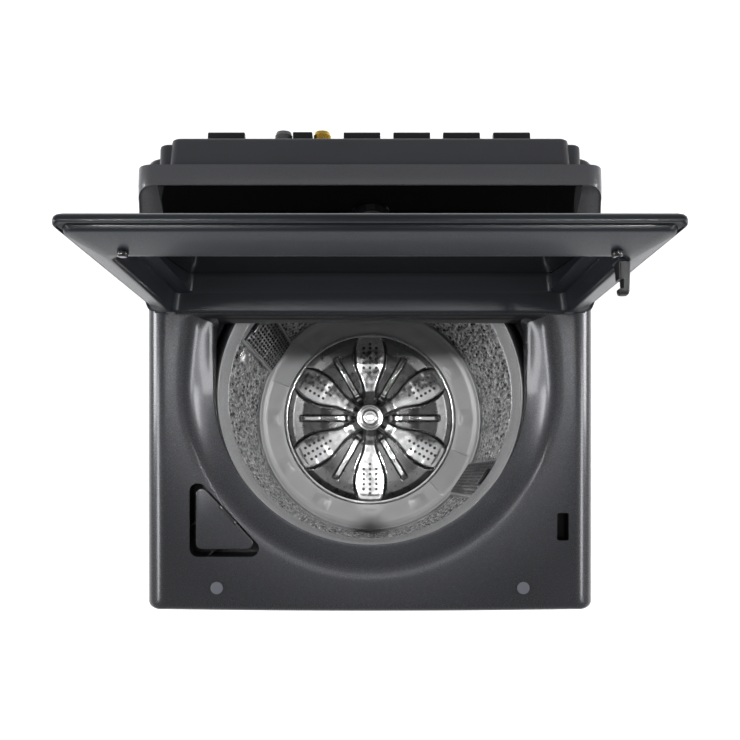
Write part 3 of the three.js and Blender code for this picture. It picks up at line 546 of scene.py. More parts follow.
def bowl_ring(radius, back, sink, level=None):
    """Points round the bowl, in the directions of the deck outline from the drum axis.

    They are sunk below the deck, less so towards the back, or lie at a level height.
    """
    ring = []
    for x, s in deck_outline():
        angle = math.atan2(s - DRUM_S, x)
        c, n = math.cos(angle), math.sin(angle)
        reach = radius
        if n > 0.02:
            side = radius * (1 + BOWL_BULGE * n * n)
            if radius < BOWL_RIM_R:
                side = radius / max(abs(c), 0.01)
            reach = softer_min((back - DRUM_Y) / n, side)
        if level is None:
            depth = sink * (1 - 0.8 * min(max(n, 0), 0.38))
            ring.append(DECK_MATRIX @ Vector((reach * c, DRUM_S + reach * n, -depth)))
        else:
            ring.append(Vector((reach * c, DRUM_Y + reach * n, level)))
    return ring


def rolled_rim(start, rim, ledge):
    """Rings that round the deck's face down into the bowl."""
    rings = []
    for k in range(7):
        t = k / 6
        ring = []
        for a, b, c in zip(start, rim, ledge):
            d = b + (c - b).normalized() * min(BOWL_ROLL, (c - b).length * 0.4)
            ring.append(a * (1 - t) ** 2 + b * 2 * t * (1 - t) + d * t * t)
        rings.append(ring)
    return rings


def sagging_slope(upper, lower, sag=0.8):
    """Rings from one edge down to another, sagging a little between them."""
    rings = []
    for k in range(1, 9):
        t = k / 8
        ring = [a.lerp(b, t) for a, b in zip(upper, lower)]
        for point in ring:
            point.z -= math.sin(math.pi * t) * sag
        rings.append(ring)
    return rings


def bowl_rings():
    """The bowl, from the deck's face down to its lip and up again behind its wall."""
    start = bowl_ring(BOWL_RIM_R + BOWL_ROLL, BOWL_BACK_Y + 3, 0)
    rim = bowl_ring(BOWL_RIM_R, BOWL_BACK_Y, 0)
    ledge = bowl_ring(BOWL_LEDGE_R, BOWL_BACK_Y - 3, BOWL_LEDGE)
    lip = bowl_ring(BOWL_LIP_R + 2, BOWL_BACK_Y, 0, BOWL_LIP_Z)
    down = Vector((0, 0, -1))
    rings = rolled_rim(start, rim, ledge)
    rings += sagging_slope(rings[-1], ledge)
    for share, inward in ((0.04, 2.2), (0.12, 3.0)):
        rings.append([a.lerp(b, share) + inward * toward_axis(a) for a, b in zip(ledge, lip)])
    rings.append([a.lerp(b, 0.9) for a, b in zip(ledge, lip)])
    rings.append([p + down * 2.4 - toward_axis(p) * 1.2 for p in lip])
    rings.append([p - toward_axis(p) * BOWL_WALL + down for p in lip])
    rings.append([p - toward_axis(p) * BOWL_WALL + down * BOWL_WALL for p in ledge])
    rings.append(bowl_ring(BOWL_RIM_R + BOWL_WALL, BOWL_BACK_Y + BOWL_WALL, SKIN + 4))
    rings.append(bowl_ring(BOWL_RIM_R + BOWL_ROLL + 1, BOWL_BACK_Y + BOWL_ROLL + 1, SKIN))
    return rings


def deck_edge_rings():
    """The underside, the skirt and the rolled edges, up to the deck's face."""
    drops = [SKIRT, SKIRT - 0.8, 26, 22, 18, 14, 11, 8.5, 6.5, 4.8, 3.4, 2.2, 1.3, 0.6, 0.2, 0]
    rings = [deck_loop(SKIN, SKIN), deck_loop(SKIRT, SKIN)]
    return rings + [deck_loop(drop, 0.6 if drop == SKIRT else 0) for drop in drops]


def in_painted_shade(x, y, z):
    """True at the back of the bowl and on its lower wall, which are painted black as shade: the
    lid's shadow at the back, and the shadow gap down to the drum below.
    """
    reach = math.hypot(x, y - DRUM_Y)
    shaded_back = y > BOWL_BACK_Y - 4 and reach < BOWL_RIM_R + 2 and z < deck_z(y) - 0.5
    shaded_low_wall = reach < BOWL_LIP_R + 12 and z < deck_z(y) - BOWL_LEDGE - 8
    return shaded_back or shaded_low_wall


def top_cover():
    shell = new_object("top_cover_shell", *loft(bowl_rings() + deck_edge_rings(), caps=False))
    cut(shell, *deck_openings())
    dress(shell, ["enamel", "black_plastic"], "cabinet", "enamel", ["top_cover"], 28)
    # The back of the bowl and its lower wall get black as painted shade.
    two_tone(shell, in_painted_shade)


def toward_axis(point):
    return Vector((-point.x, DRUM_Y - point.y, 0)).normalized()


def rear_black_strip():
    """A dark strip across the deck behind the opening, under the foot of the lid."""
    points = flat_outline(-272, 272, 93.5, 99, 2, 5, 2)
    piece("rear_black_strip_mesh", prism(points, 0.2, 1.6),
          "black_plastic", "cabinet", "enamel", ["top_cover"])


# The slanting side of the dispenser's triangle: its middle, and the direction square to it.
CORNER_MID = Vector((-214.5, -212.5))
CORNER_N = Vector((0.734, 0.679))


def corner_triangle(x, s, off, radius):
    """The dispenser's rounded triangle: its square corner is at x, s, its slant moved by off."""
    right = CORNER_MID.x + (off - (s - CORNER_MID.y) * CORNER_N.y) / CORNER_N.x
    up = CORNER_MID.y + (off - (x - CORNER_MID.x) * CORNER_N.x) / CORNER_N.y
    corners = [Vector((x, s)), Vector((right, s)), Vector((x, up))]
    points = []
    for i, corner in enumerate(corners):
        before, after = corners[i - 1], corners[(i + 1) % 3]
        u, v = (before - corner).normalized(), (after - corner).normalized()
        half = u.angle(v) / 2
        centre = corner + (u + v).normalized() * radius / math.sin(half)
        first = corner + u * radius / math.tan(half) - centre
        last = corner + v * radius / math.tan(half) - centre
        sweep = first.angle_signed(last)
        for k in range(11):
            turn = Matrix.Rotation(-sweep * k / 10, 2)
            points.append(tuple(centre + turn @ first))
    return points


def prism(points, low, high, matrix=DECK_MATRIX):
    """A flat-sided body over an outline, in the deck's face unless told otherwise."""
    body = loft([[(x, y, low) for x, y in points], [(x, y, high) for x, y in points]])
    return moved(body, matrix)


def slot_points():
    """The lock's slot at the right of the deck."""
    x, s, half, length = 294.8, -233, 9, 21
    return flat_outline(x - half, x + half, s - length, s + length, 3, 5, 1)


PLUG_X = 234
PLUG_S = -324 / math.cos(DECK_TILT)


def deck_openings():
    """Bodies that cut the dispenser's, the lock's and the plugs' openings out of the deck."""
    low, high = -12, 6
    outlines = [corner_triangle(-276, -279, 0, 13), slot_points()]
    outlines += [circle(6.4, 32, side * PLUG_X, PLUG_S) for side in (-1, 1)]
    return [prism(points, low, high) for points in outlines]


def deck_plugs():
    profile = rounded([(0, -8), (6, -8), (6, 0.3), (9.5, 0.3), (9.5, 1.6), (7.5, 2), (0, 1.7)], 0.5)
    for hand, side in (("left", -1), ("right", 1)):
        place = DECK_MATRIX @ Matrix.Translation((side * PLUG_X, PLUG_S, 0))
        piece(f"deck_plug_cap_{hand}", moved(revolve(profile, 48), place),
              "pad_grey", "cabinet", "pad_grey", [f"deck_plug_{hand}"])


# ---- Dispenser

HINGE_OFF = -3.5
HINGE_MATRIX = (DECK_MATRIX
                @ Matrix.Translation((CORNER_MID.x + CORNER_N.x * HINGE_OFF,
                                      CORNER_MID.y + CORNER_N.y * HINGE_OFF, -2.6))
                @ Matrix.Rotation(math.atan2(-CORNER_N.x, CORNER_N.y), 4, "Z"))


def dispenser():
    """The flap: a plate with a soft upper edge, notched for the hinge knuckle below it."""
    rings = []
    for inset, level in ((0.0, -2.4), (0.0, -0.7), (0.3, -0.2), (0.9, 0.0)):
        points = corner_triangle(-266 + inset, -267 + inset, -2.7 - inset, 9)
        rings.append([(x, s, level) for x, s in points])
    plate = new_object("dispenser_lid_plate", *moved(loft(rings), DECK_MATRIX))
    cut(plate, moved(box(-18.5, 18.5, -3, 10, -4, 6), HINGE_MATRIX))
    dress(plate, "enamel", "dispenser_lid", "enamel", ["dispenser_flap"])
    half = 14
    barrel = moved(revolve([(0, -half), (2.4, -half), (2.4, half), (0, half)], 24),
                   HINGE_MATRIX @ Matrix.Rotation(math.pi / 2, 4, "Y"))
    web = moved(box(-half, half, -5, -1, -0.2, 1.9), HINGE_MATRIX)
    piece("dispenser_lid_knuckle", merge(barrel, web),
          "black_plastic", "dispenser_lid", "enamel", ["dispenser_flap"])


# ---- Lid


def pane_y(z):
    """Depth of the glass, which leans forward most at its foot."""
    rise = z - PANE_BOTTOM
    return PANE_FOOT_Y - PANE_LEAN * rise + PANE_CURVE * rise * rise


def lid_loop(w, low, high, radius, side=None, top=None, bottom=None, arc=None):
    """One loop round the lid: its half width, ends and corner radius, and its depth.

    The depth is given for the sides, the free end and the hinge end, or as an offset from the
    crowned outer face.
    """
    loop = []
    for x, z, angle in outline(-w, w, low, high, radius, 8, 20):
        if arc is not None:
            y = pane_y(z) + arc
        else:
            up, down = max(0, math.sin(angle)) ** 2, max(0, -math.sin(angle)) ** 2
            y = side * (1 - up - down) + top * up + bottom * down
        loop.append((x, y, z))
    return loop


def lid_frame_loops():
    """The lid's frame as loops: window, recess, face, bevelled band, edge and outer face."""
    rows = [
        # half, low, high, corner radius, side y, top y, bottom y
        (270.5, 1026.6, 1362.0, 12, 122.0, 120.0, 145.5),
        (274.0, 1024.2, 1362.6, 12, 120.0, 119.0, 120.5),
        (277.2, 1022.6, 1363.0, 12, 119.0, 118.0, 118.8),
        (279.5, 1021.0, 1363.4, 12, 118.4, 117.0, 118.4),
        (291.5, 1020.4, 1363.6, 14, 118.2, 115.0, 118.0),
        (292.6, 1019.6, 1364.0, 15, 117.0, 112.0, 116.5),
        (295.2, 1018.8, 1364.2, 16, 94.0, 99.0, 93.0),
        (296.2, 1018.3, 1365.6, 16, 91.2, 94.6, 91.0),
        (298.2, 1017.6, 1369.5, 16, 89.9, 91.2, 89.9),
        (301.5, 1017.0, 1376.0, 16, 89.9, 89.7, 89.6),
        (306.0, 1016.8, 1382.0, 16, 91.6, 90.4, 89.7),
        (330.0, 1016.4, 1437.0, 14, 100.4, 101.6, 90.2),
        (331.2, 1016.4, 1440.2, 14, 101.4, 103.0, 90.4),
        (331.8, 1016.4, 1441.2, 14, 103.0, 105.0, 90.6),
        (332.0, 1016.3, 1441.6, 9, 106.0, 109.6, 90.8),
        (334.8, 1016.2, 1450.2, 8, 106.6, 110.6, 91.4),
        (335.2, 1016.2, 1451.4, 7, 104.2, 108.0, 91.8),
        (336.0, 1016.1, 1452.6, 7, 104.4, 107.8, 92.2),
        (337.4, 1016.0, 1454.4, 7, 106.0, 108.8, 93.0),
        (338.0, 1016.0, 1455.0, 7, 108.4, 110.6, 95.0),
    ]
    loops = [lid_loop(*row) for row in rows]
    outer = [
        (338.0, 1016.0, 1455.0, 7, -3.5), (337.4, 1016.6, 1454.4, 7, -0.5),
        (336.0, 1018.0, 1451.5, 7, 2.2),
        (333.0, 1021.0, 1447.0, 7, 4.0), (329.0, 1025.0, 1441.0, 7, 4.7),
        (291.0, 1026.0, 1432.6, 8, 4.7), (290.2, 1025.6, 1432.0, 8, 3.6),
        (290.0, 1025.4, 1432.0, 8, -0.3), (271.5, 1026.9, 1363.2, 12, -0.3),
    ]
    return loops + [lid_loop(*row[:4], arc=row[4]) for row in outer]


def curved_pane(half, low, high, thick, steps=64):
    """A pane that follows the curve of the lid."""
    xs = [-half, -half / 3, half / 3, half]
    rings = []
    for i in range(steps + 1):
        z = low + (high - low) * i / steps
        front = [(x, pane_y(z), z) for x in xs]
        rings.append(front + [(x, y + thick, z) for x, y, z in reversed(front)])
    return loft(rings)


def on_band(x, y, z):
    """True on the bevelled band of the lid's face, along its free end and both sides."""
    along_end = 1377 < z < 1437 and y < 104 and abs(x) < 332
    along_side = 301 < abs(x) < 331 and y < 102
    return along_end or along_side


def lid_shell():
    shell = new_object("lid_frame_shell", *loft(lid_frame_loops(), caps=False))
    dress(shell, ["charcoal", "band"], "lid", "charcoal", ["lid_frame"], 40)
    two_tone(shell, on_band)


def lid_pane():
    pane = new_object("lid_glass_pane", *curved_pane(289.6, 1026.3, 1431.5, PANE_T))
    dress(bevel(pane, 0.6, 2), "lid_glass", "lid", "lid_glass", ["lid_glass"])


def lid_knuckles():
    half = 7.7
    barrel = revolve([(3.9, -half), (7.5, -half), (7.5, half), (3.9, half)], 32)
    bodies = []
    for side in (-1, 1):
        x, y, z = side * LID_HINGE_X, LID_HINGE_Y, LID_HINGE_Z
        place = Matrix.Translation((x, y, z)) @ Matrix.Rotation(math.pi / 2, 4, "Y")
        bodies.append(moved(barrel, place))
        bodies.append(box(x - half, x + half, y - 5, y + 5, z + 6, z + 10))
    piece("lid_hinge_knuckles", merge(*bodies), "charcoal", "lid", "charcoal", ["lid_frame"])


def lid_striker():
    boss = new_object("striker_boss", *box(287, 304, 89.9, 116, 1324, 1356))
    dress(bevel(boss, 2), "charcoal", "lid", "charcoal", ["lid_frame"])
    rings = []
    for y, half, tall in ((51.6, 4.2, 5.5), (52.6, 5.3, 7), (55, 5.9, 8.2), (70, 6.4, 10),
                          (86, 6.9, 12.4), (89.4, 7, 13)):
        points = flat_outline(-half, half, -tall, tall, 2.6, 4, 1)
        rings.append([(295.5 + x, y, 1340 + z) for x, z in points])
    peg = new_object("striker_peg", *loft(rings))
    cut(peg, box(287, 294.5, 58.6, 69.6, 1300, 1380))
    dress(peg, "black_plastic", "lid", "black_plastic", ["lid_striker"])


def lid_bumpers():
    profile = rounded([(0, 85.4), (5, 85.5), (6.5, 88), (6.5, 92.4), (0, 92.4)], 1.2)
    for hand, side in (("left", -1), ("right", 1)):
        pad = moved(revolve(profile, 32), along_y(side * 277, 1390))
        piece(f"lid_bumper_pad_{hand}", pad, "black_gloss", "lid", "rubber", [f"lid_bumper_{hand}"])


# ---- Console


def face_y(z):
    return CONSOLE_CREST_Y - (CONSOLE_TOP - z) * FACE_RUN / FACE_RISE


def console_loop(inset, y=None, sink=0.0, top_drop=0.0):
    """The console's front outline, on its sloping face or at a depth y."""
    corner = CONSOLE_CORNER - inset
    shoulder = CONSOLE_TOP - inset - top_drop - corner
    half, foot = CONSOLE_HALF - inset, CONSOLE_FOOT_HALF - inset
    right = [(foot, 1004), (foot, CONSOLE_BEND_Z)]
    for t in (0.8, 0.6, 0.4, 0.2):
        right.append((half + (foot - half) * t, shoulder + (CONSOLE_BEND_Z - shoulder) * t))
    for i in range(33):
        a = math.pi / 2 * i / 32
        right.append((half - corner + corner * math.cos(a), shoulder + corner * math.sin(a)))
    ring = []
    for x, z in right + [(-x, z) for x, z in reversed(right)]:
        low = max(z, deck_z(face_y(z) if y is None else y) + STAND)
        ring.append(Vector((x, face_y(low) if y is None else y, low)) - FACE_OUT * sink)
    return ring


def console():
    rear = [(1.5, 281.7, 1.0), (0.4, 281.0, 0), (0, 279.5, 0), (0, 253.2, 0), (0.2, 252.4, 0)]
    face = [(0.7, -0.1), (1.5, -0.1), (2.0, 0.6), (2.4, 2.4), (3.4, 3.0)]
    loops = [console_loop(inset, y, top_drop=drop) for inset, y, drop in rear]
    loops += [console_loop(inset, sink=sink) for inset, sink in face]
    piece("console_shell", loft(loops),
          "rear_enamel", "cabinet", "charcoal", ["console_housing"], 28)
    points = flat_outline(-300, 300, -66, 72.6, 3, 4, 2)
    glass = new_object("console_screen", *prism(points, -3.6, -0.9, FACE_MATRIX))
    dress(bevel(glass, 0.5, 2), "console_glass", "cabinet", "console_glass", ["console_glass"])


def buttons():
    profile = rounded([(0, -8), (8, -8), (8, 1), (7, 1.8), (0, 1.5)], 0.5)
    for name, x, body in (("power_button", -205, "power_key"), ("start_button", 205, "start_key")):
        place = FACE_MATRIX @ Matrix.Translation((x, -12, 0))
        piece(f"{name}_cap", moved(revolve(profile, 40), place),
              "black_plastic", body, "black_plastic", [name])


def knob():
    profile = rounded([(0, -0.2), (28, -0.2), (31, 2), (30, 18), (28, 22), (24, 22), (22.5, 20.5),
                       (0, 20.5)], 1.0)
    verts, faces = revolve(profile, 120)
    ridged = []
    for x, y, z in verts:
        r, a = math.hypot(x, y), math.atan2(y, x)
        grip = 0.35 * (0.5 + 0.5 * math.cos(60 * a)) if r > 29 else 0
        ridged.append(((r - grip) * math.cos(a), (r - grip) * math.sin(a), z))
    place = FACE_MATRIX @ Matrix.Translation((2, 13, 0))
    piece("selector_dial", moved((ridged, faces), place),
          "black_gloss", "knob", "black_gloss", ["selector_knob"])
    piece("selector_mark", moved(box(-0.8, 0.8, 14, 21, 20.3, 20.8), place),
          "steel", "knob", "steel")


def rear_block(half, y, top_front, top_rear, radius=12):
    """A block that stands on the deck behind the console, with rounded edges at its rear."""
    loops = []
    for depth, inset in ((CONSOLE_REAR_Y, 0), (y - 6, 0), (y - 2.6, 0.5), (y - 0.8, 2.2), (y, 5.5)):
        share = (depth - CONSOLE_REAR_Y) / (y - CONSOLE_REAR_Y)
        top = top_front + (top_rear - top_front) * share - inset
        low = deck_z(depth) + STAND
        ring = []
        for x, z, _ in outline(-half + inset, half - inset, low, top, radius, 8, 2):
            side = half - inset if x > 0 else inset - half
            ring.append((side if z < low + radius else x, depth, z))
        loops.append(ring)
    return loft(loops)


def rear():
    blocks = merge(rear_block(305, 322, 1100, 1100), rear_block(286, 328, 1120, 1108))
    piece("rear_cover_shell", blocks,
          "rear_charcoal", "cabinet", "charcoal", ["console_rear_cover"], 30)
    front, back = 328.3, 330.3
    bodies = [box(-248, 248, front, back, 1059, 1067)]
    for x in (-215, -12, 62.5, 137, 212):
        bodies.append(hood(x - 27.5, x + 27.5))
        bodies.append(box(x - 30, x + 30, front, back, 1024, 1062))
    vents = new_object("vent_hoods", *merge(*bodies))
    dress(bevel(vents, 0.8, 2), "black_plastic", "cabinet", "black_plastic", ["rear_vent_strip"])


def hood(x0, x1):
    section = [(329.8, 1030), (356.5, 1044), (356.5, 1053), (353.5, 1055), (329.8, 1055)]
    return loft([[(x, y, z) for y, z in section] for x in (x0, x1)])


def inlets():
    threads = []
    for k in range(8):
        start = 343.6 + k * 1.5
        threads += [(13, start), (13, start + 0.5), (12.1, start + 0.9), (12.1, start + 1.2)]
    profile = [(6, 337.8), (13, 337.8), (13, 342.4)] + threads + [
        (11.6, 356), (11.6, 358.6), (10.8, 360), (8.6, 360), (8, 359.4), (8, 341.6), (6, 341.6)]
    for name, x, finish in (("inlet_connector_cold", -130, "grey_plastic"),
                            ("inlet_connector_hot", -72, "brass")):
        piece(f"{name}_thread", moved(revolve(profile, 48), along_y(x, 1041)),
              finish, "cabinet", finish, [name])


# ---- Drum

TO_DRUM = Matrix.Translation((0, DRUM_Y, 0))

# The balance ring is painted black outside this radius, as painted shade in the gap under the bowl's
# lip.
RING_SHADE_R = 244.5

# Size of a dimple of the drum wall.
CELL_WIDTH, CELL_HEIGHT = 9, 30

# Directions of the left filter and of its clip, in degrees; the right ones are opposite.
FILTER_TURN = 146
CLIP_TURN = FILTER_TURN + 14


def balance_ring():
    profile = rounded([
        (250, 846), (256, 860), (256, 898), (252, 903), (247, 904), (243.6, 902.8), (242.8, 900.4),
        (241.2, 900.8), (237, 890), (235.6, 884), (232.5, 872), (232.5, 858), (238, 846)], 2.2, 5)
    obj = new_object("balance_ring_moulding", *moved(revolve(profile, 200), TO_DRUM))
    dress(obj, ["ring_plastic", "black_plastic"], "basket", "grey_plastic", ["balance_ring"], 50)
    # The ring's outer band is painted black as shade.
    two_tone(obj, lambda x, y, _: math.hypot(x, y - DRUM_Y) > RING_SHADE_R)


def emboss(a, z):
    """Height of the drum wall's pattern at an angle and a height: a net of upright dimples."""
    u, v = a * WALL_R / CELL_WIDTH, z / CELL_HEIGHT
    net = math.cos(math.pi * (u + v)) * math.cos(math.pi * (u - v))
    swell = 0.5 * math.sin(u * 0.9 + 1.3 * math.sin(v * 0.7))
    return 1.5 * net + 0.5 * swell


def drum_ring(radius, height, count):
    """Points about the drum axis; the height is a number or a function of radius and angle."""
    ring = []
    for i in range(count):
        a = 2 * math.pi * i / count
        z = height(radius, a) if callable(height) else height
        ring.append((radius * math.cos(a), DRUM_Y + radius * math.sin(a), z))
    return ring


def basket_wall():
    around, up = 760, 150
    low, high = 297, 845
    rings = []
    for k in range(up + 1):
        z = low + (high - low) * k / up
        fade = smooth_step(z, low + 26, low + 40) * (1 - smooth_step(z, high - 24, high - 10))
        ring = []
        for i in range(around):
            a = 2 * math.pi * i / around
            r = WALL_R - 2.2 + emboss(a, z) * fade
            ring.append((r * math.cos(a), DRUM_Y + r * math.sin(a), z))
        rings.append(ring)
    rings += [drum_ring(252.4, z, around) for z in (high, low)]
    piece("basket_sheet", loft(rings, caps=False),
          "drum_sheet", "basket", "stainless", ["basket_wall"], 70)


def base_height(r, a):
    """The plastic floor ring: a curbed plate with low pads, and a flat lane at each filter."""
    z = between([(190, 303), (197, 303.8), (228, 305.2), (238, 308), (240.5, 311), (243.5, 311.6),
                 (245.4, 309), (246.2, 304)], r)
    turn = math.degrees(a)
    sector = (turn + 7.5) % 30 - 7.5
    across = abs(sector) / 5.5
    pad = (1 - smooth_step(across, 0.2, 1.1)) * smooth_step(r, 196, 205)
    pad *= 1 - smooth_step(r, 212, 229)
    lane = abs((turn - FILTER_TURN + 90) % 180 - 90)
    if lane < 13.4:
        pad = 0
        z = max(z, 306.6 if lane < 12.6 else 302.8)
    return z + 2.2 * pad


def basket_base():
    around = 720
    radii = [190, 191.5, 194, 197, 198, 200, 202, 204, 208, 213, 218, 221, 223, 225, 228, 232, 236,
             238, 239.5, 241, 243, 244.4, 245.4, 246.2]
    rings = [drum_ring(r, base_height, around) for r in radii]
    for r, z in ((246.4, 301), (250, 300), (250, 298), (234, 294), (190, 287), (70, 282),
                 (60, 270.4), (17, 270.4), (17, 286), (70, 288), (186, 291), (189, 293), (189, 301)):
        rings.append(drum_ring(r, z, around))
    piece("basket_floor", loft(rings, caps=False),
          "base_plastic", "basket", "grey_plastic", ["basket_base"], 50)


# Half the width of a petal at distances from the drum axis, and half the width of a rib.
PETAL_HALF = [(36, 12), (60, 14), (75, 17), (88, 22), (100, 27), (114, 32), (130, 35),
              (146, 35.5), (158, 34), (168, 31), (176, 27), (184, 21)]
RIB_HALF = 6
PETAL_TURN = 30


def in_sector(r, a, start):
    """Distance along and beside the middle line of the nearest of six sectors."""
    turn = (math.degrees(a) - start) % 60
    delta = math.radians(turn if turn < 30 else turn - 60)
    return r * math.cos(delta), abs(r * math.sin(delta))


def impeller_height(r, a):
    """Top of the impeller: a dish with broad petals and a thin rib between each pair."""
    z = between([(0, 324), (22, 323), (30, 316), (40, 308), (60, 302.5), (110, 299.5), (150, 300),
                 (170, 302.5), (180, 306), (184, 308), (188, 306)], r)
    x, y = in_sector(r, a, PETAL_TURN)
    half = between(PETAL_HALF, x)
    edge = 1 - smooth_step(y, max(half - 5, 0), half + 3)
    crown = 1 - 0.2 * (y / 36) ** 2
    top = between([(30, 4), (50, 6), (90, 9), (120, 11), (150, 11.5), (168, 9), (184, 3)], x)
    z += edge * crown * top * (1 - smooth_step(r, 179, 184))
    x, y = in_sector(r, a, 0)
    rib = (1 - smooth_step(y, RIB_HALF - 2, RIB_HALF + 2)) * smooth_step(x, 46, 58)
    rib *= 1 - smooth_step(x, 144, 156)
    groove = (1 - smooth_step(y, 0.8, 2.6)) * smooth_step(x, 70, 76) * (1 - smooth_step(x, 104, 112))
    return z + rib * 6 - groove * 3


def on_petal_or_rib(x, y, _):
    r, a = math.hypot(x, y - DRUM_Y), math.atan2(y - DRUM_Y, x)
    petal = 30 < r < 190 and in_sector(r, a, PETAL_TURN)[1] < between(PETAL_HALF, r) + 2
    rib = 56 < r < 154 and in_sector(r, a, 0)[1] < RIB_HALF + 1
    return petal or rib


def impeller():
    around = 720
    radii = [10 + 2.0 * i for i in range(82)] + [174 + 1.4 * i for i in range(11)]
    rings = [drum_ring(r, impeller_height, around) for r in radii]
    rings += [drum_ring(r, z, around) for r, z in ((188, 298), (182, 295.2), (10, 295.2))]
    dish = new_object("impeller_dish", *loft(rings, caps=False))
    # Between the petals and ribs the dish takes the steel painted dark, as painted shade for the
    # dark drum it reflects; petals and ribs stay bright.
    dress(dish, ["painted_dark_dish", "stainless"], "impeller_drive", "chrome", ["impeller"], 60)
    two_tone(dish, on_petal_or_rib)


def impeller_trim():
    profile = rounded([(182, 303), (182, 310.6), (188, 310.6), (188, 303)], 1.2)
    piece("impeller_trim", moved(revolve(profile, 200), TO_DRUM),
          "stainless", "impeller_drive", "chrome", ["impeller"], 50)


def impeller_holes():
    """Black discs in each petal's holes, painted shade for the dark seen through them: three columns
    of five, and one at each end.
    """
    places = [(x, y) for x in (112, 123, 134, 145, 156) for y in (-14, 0, 14)]
    places += [(101, 0), (165, 0)]
    plugs = []
    for petal in range(6):
        turn = Matrix.Rotation(math.radians(PETAL_TURN + 60 * petal), 2)
        for px, py in places:
            spots = [turn @ Vector(spot) for spot in circle(3.2, 14, px, py)]
            tops = [(x, y, impeller_height(math.hypot(x, y), math.atan2(y, x))) for x, y in spots]
            plugs.append(loft([[(x, DRUM_Y + y, z + rise) for x, y, z in tops]
                               for rise in (0.25, -1.5)]))
    # The plugs are painted shade in the holes.
    piece("impeller_hole_shade_discs", merge(*plugs), "black_plastic", "impeller_drive", "black_plastic")


def hub_cap():
    profile = rounded([(0, 326.4), (30, 326.4), (31, 329), (28.5, 332.5), (25, 333), (23.5, 329),
                       (20.5, 328.4), (18.5, 330), (17.5, 336.2), (14.5, 339.3), (0, 338.4)], 1.2, 5)
    piece("hub_cap_turned", moved(revolve(profile, 96), TO_DRUM),
          "stainless", "impeller_drive", "stainless", ["impeller_cap"], 40)
    bolt = new_object("hub_bolt", *prism(circle(9.5, 6), 338.5, 342.4, TO_DRUM))
    dress(bevel(bolt, 0.8), "steel", "impeller_drive", "stainless")


# Half width and ends of a filter's housing and of its grille.
FILTER_HALF, FILTER_LOW, FILTER_HIGH = 41.5, 337, 789
GRILLE_HALF, GRILLE_LOW, GRILLE_HIGH = 34, FILTER_LOW + 8, FILTER_HIGH - 26


def filter_face(z):
    """Distance of a filter's face from the drum axis; it leans back towards its top."""
    return 235.4 + (z - FILTER_LOW) * 5.5 / (FILTER_HIGH - FILTER_LOW)


def slanted_bar(y0, y1, z0, z1, front, back):
    """A bar in the filter's leaning face, from front to back of that face's plane."""
    rings = []
    for z in (z0, z1):
        near, far = filter_face(z) + front, filter_face(z) + back
        rings.append([(near, y0, z), (far, y0, z), (far, y1, z), (near, y1, z)])
    return loft(rings)


def filter_housing():
    """A housing that stands in from the drum wall, with rounded edges round its face."""
    rings = []
    for depth, shrink in ((None, 0), (4.5, 0), (1.4, 0.8), (0, 3.4), (0, 5.6), (2.6, 6.0)):
        points = outline(-FILTER_HALF + shrink, FILTER_HALF - shrink, FILTER_LOW + shrink,
                         FILTER_HIGH - shrink, 9 - shrink, 6, 12)
        rings.append([(math.sqrt(250.4 ** 2 - y * y) if depth is None else filter_face(z) + depth,
                       y, z) for y, z, _ in points])
    return loft(rings)


def filter_grille():
    rows, columns = 14, 9
    bars = []
    for i in range(columns + 1):
        y = GRILLE_HALF * (2 * i / columns - 1)
        bars.append(slanted_bar(y - 1.5, y + 1.5, GRILLE_LOW, GRILLE_HIGH, -0.9, 2.2))
    for i in range(rows + 1):
        z = GRILLE_LOW + (GRILLE_HIGH - GRILLE_LOW) * i / rows
        thick = 5.5 if i % 4 == 2 else 1.8
        bars.append(slanted_bar(-GRILLE_HALF - 1.5, GRILLE_HALF + 1.5, z - thick, z + thick,
                                -1.3, 2.2))
    return merge(*bars)


def lint_filter(name, degrees):
    """A light frame that stands in from the wall, with a dark screen and a release key."""
    turn = TO_DRUM @ Matrix.Rotation(math.radians(degrees), 4, "Z")
    body = name.removeprefix("lint_")
    piece(f"{name}_housing", moved(filter_housing(), turn),
          "base_plastic", body, "grey_plastic", [name], 40)
    piece(f"{name}_grille", moved(filter_grille(), turn), "grille_plastic", body, "grey_plastic")
    screen = slanted_bar(-GRILLE_HALF - 1, GRILLE_HALF + 1, GRILLE_LOW, GRILLE_HIGH, 1.6, 2.5)
    piece(f"{name}_mesh", moved(screen, turn), "black_plastic", body, "grey_plastic")
    points = flat_outline(-17, 17, FILTER_HIGH - 20, FILTER_HIGH - 6, 6.9, 8, 1)
    pill = loft([[(x, y, z) for y, z in points] for x in (233.5, 243)])
    key = new_object(f"{name}_key", *moved(pill, turn))
    dress(bevel(key, 1.5), "black_gloss", body, "black_plastic")


def filter_clips():
    for name, degrees in (("left", CLIP_TURN), ("right", CLIP_TURN + 180)):
        turn = TO_DRUM @ Matrix.Rotation(math.radians(degrees), 4, "Z")
        plate = merge(box(243.8, 245.4, -9, 9, 650, 742), box(242, 244, -14, 14, 726, 742))
        clip = new_object(f"filter_clip_{name}", *moved(plate, turn))
        dress(bevel(clip, 0.6), "stainless", "basket", "stainless")


# ---- Cabinet, feet and springs

SPRING_Y = (-271, 229)


def cabinet():
    rings = []
    for inset, low in ((0, True), (0, False), (1.4, False), (1.4, True)):
        points = outline(-341 + inset, 341 - inset, -355 + inset, 330 - inset, 14 - inset, 10, 4)
        ring = []
        for x, y, _ in points:
            top = deck_z(y) - (SKIRT + SEAM) / math.cos(DECK_TILT)
            ring.append((x, y, 30 if low else top))
        rings.append(ring)
    piece("cabinet_shell", loft(rings, caps=False),
          "cabinet", "cabinet", "enamel", ["cabinet_wrap"])


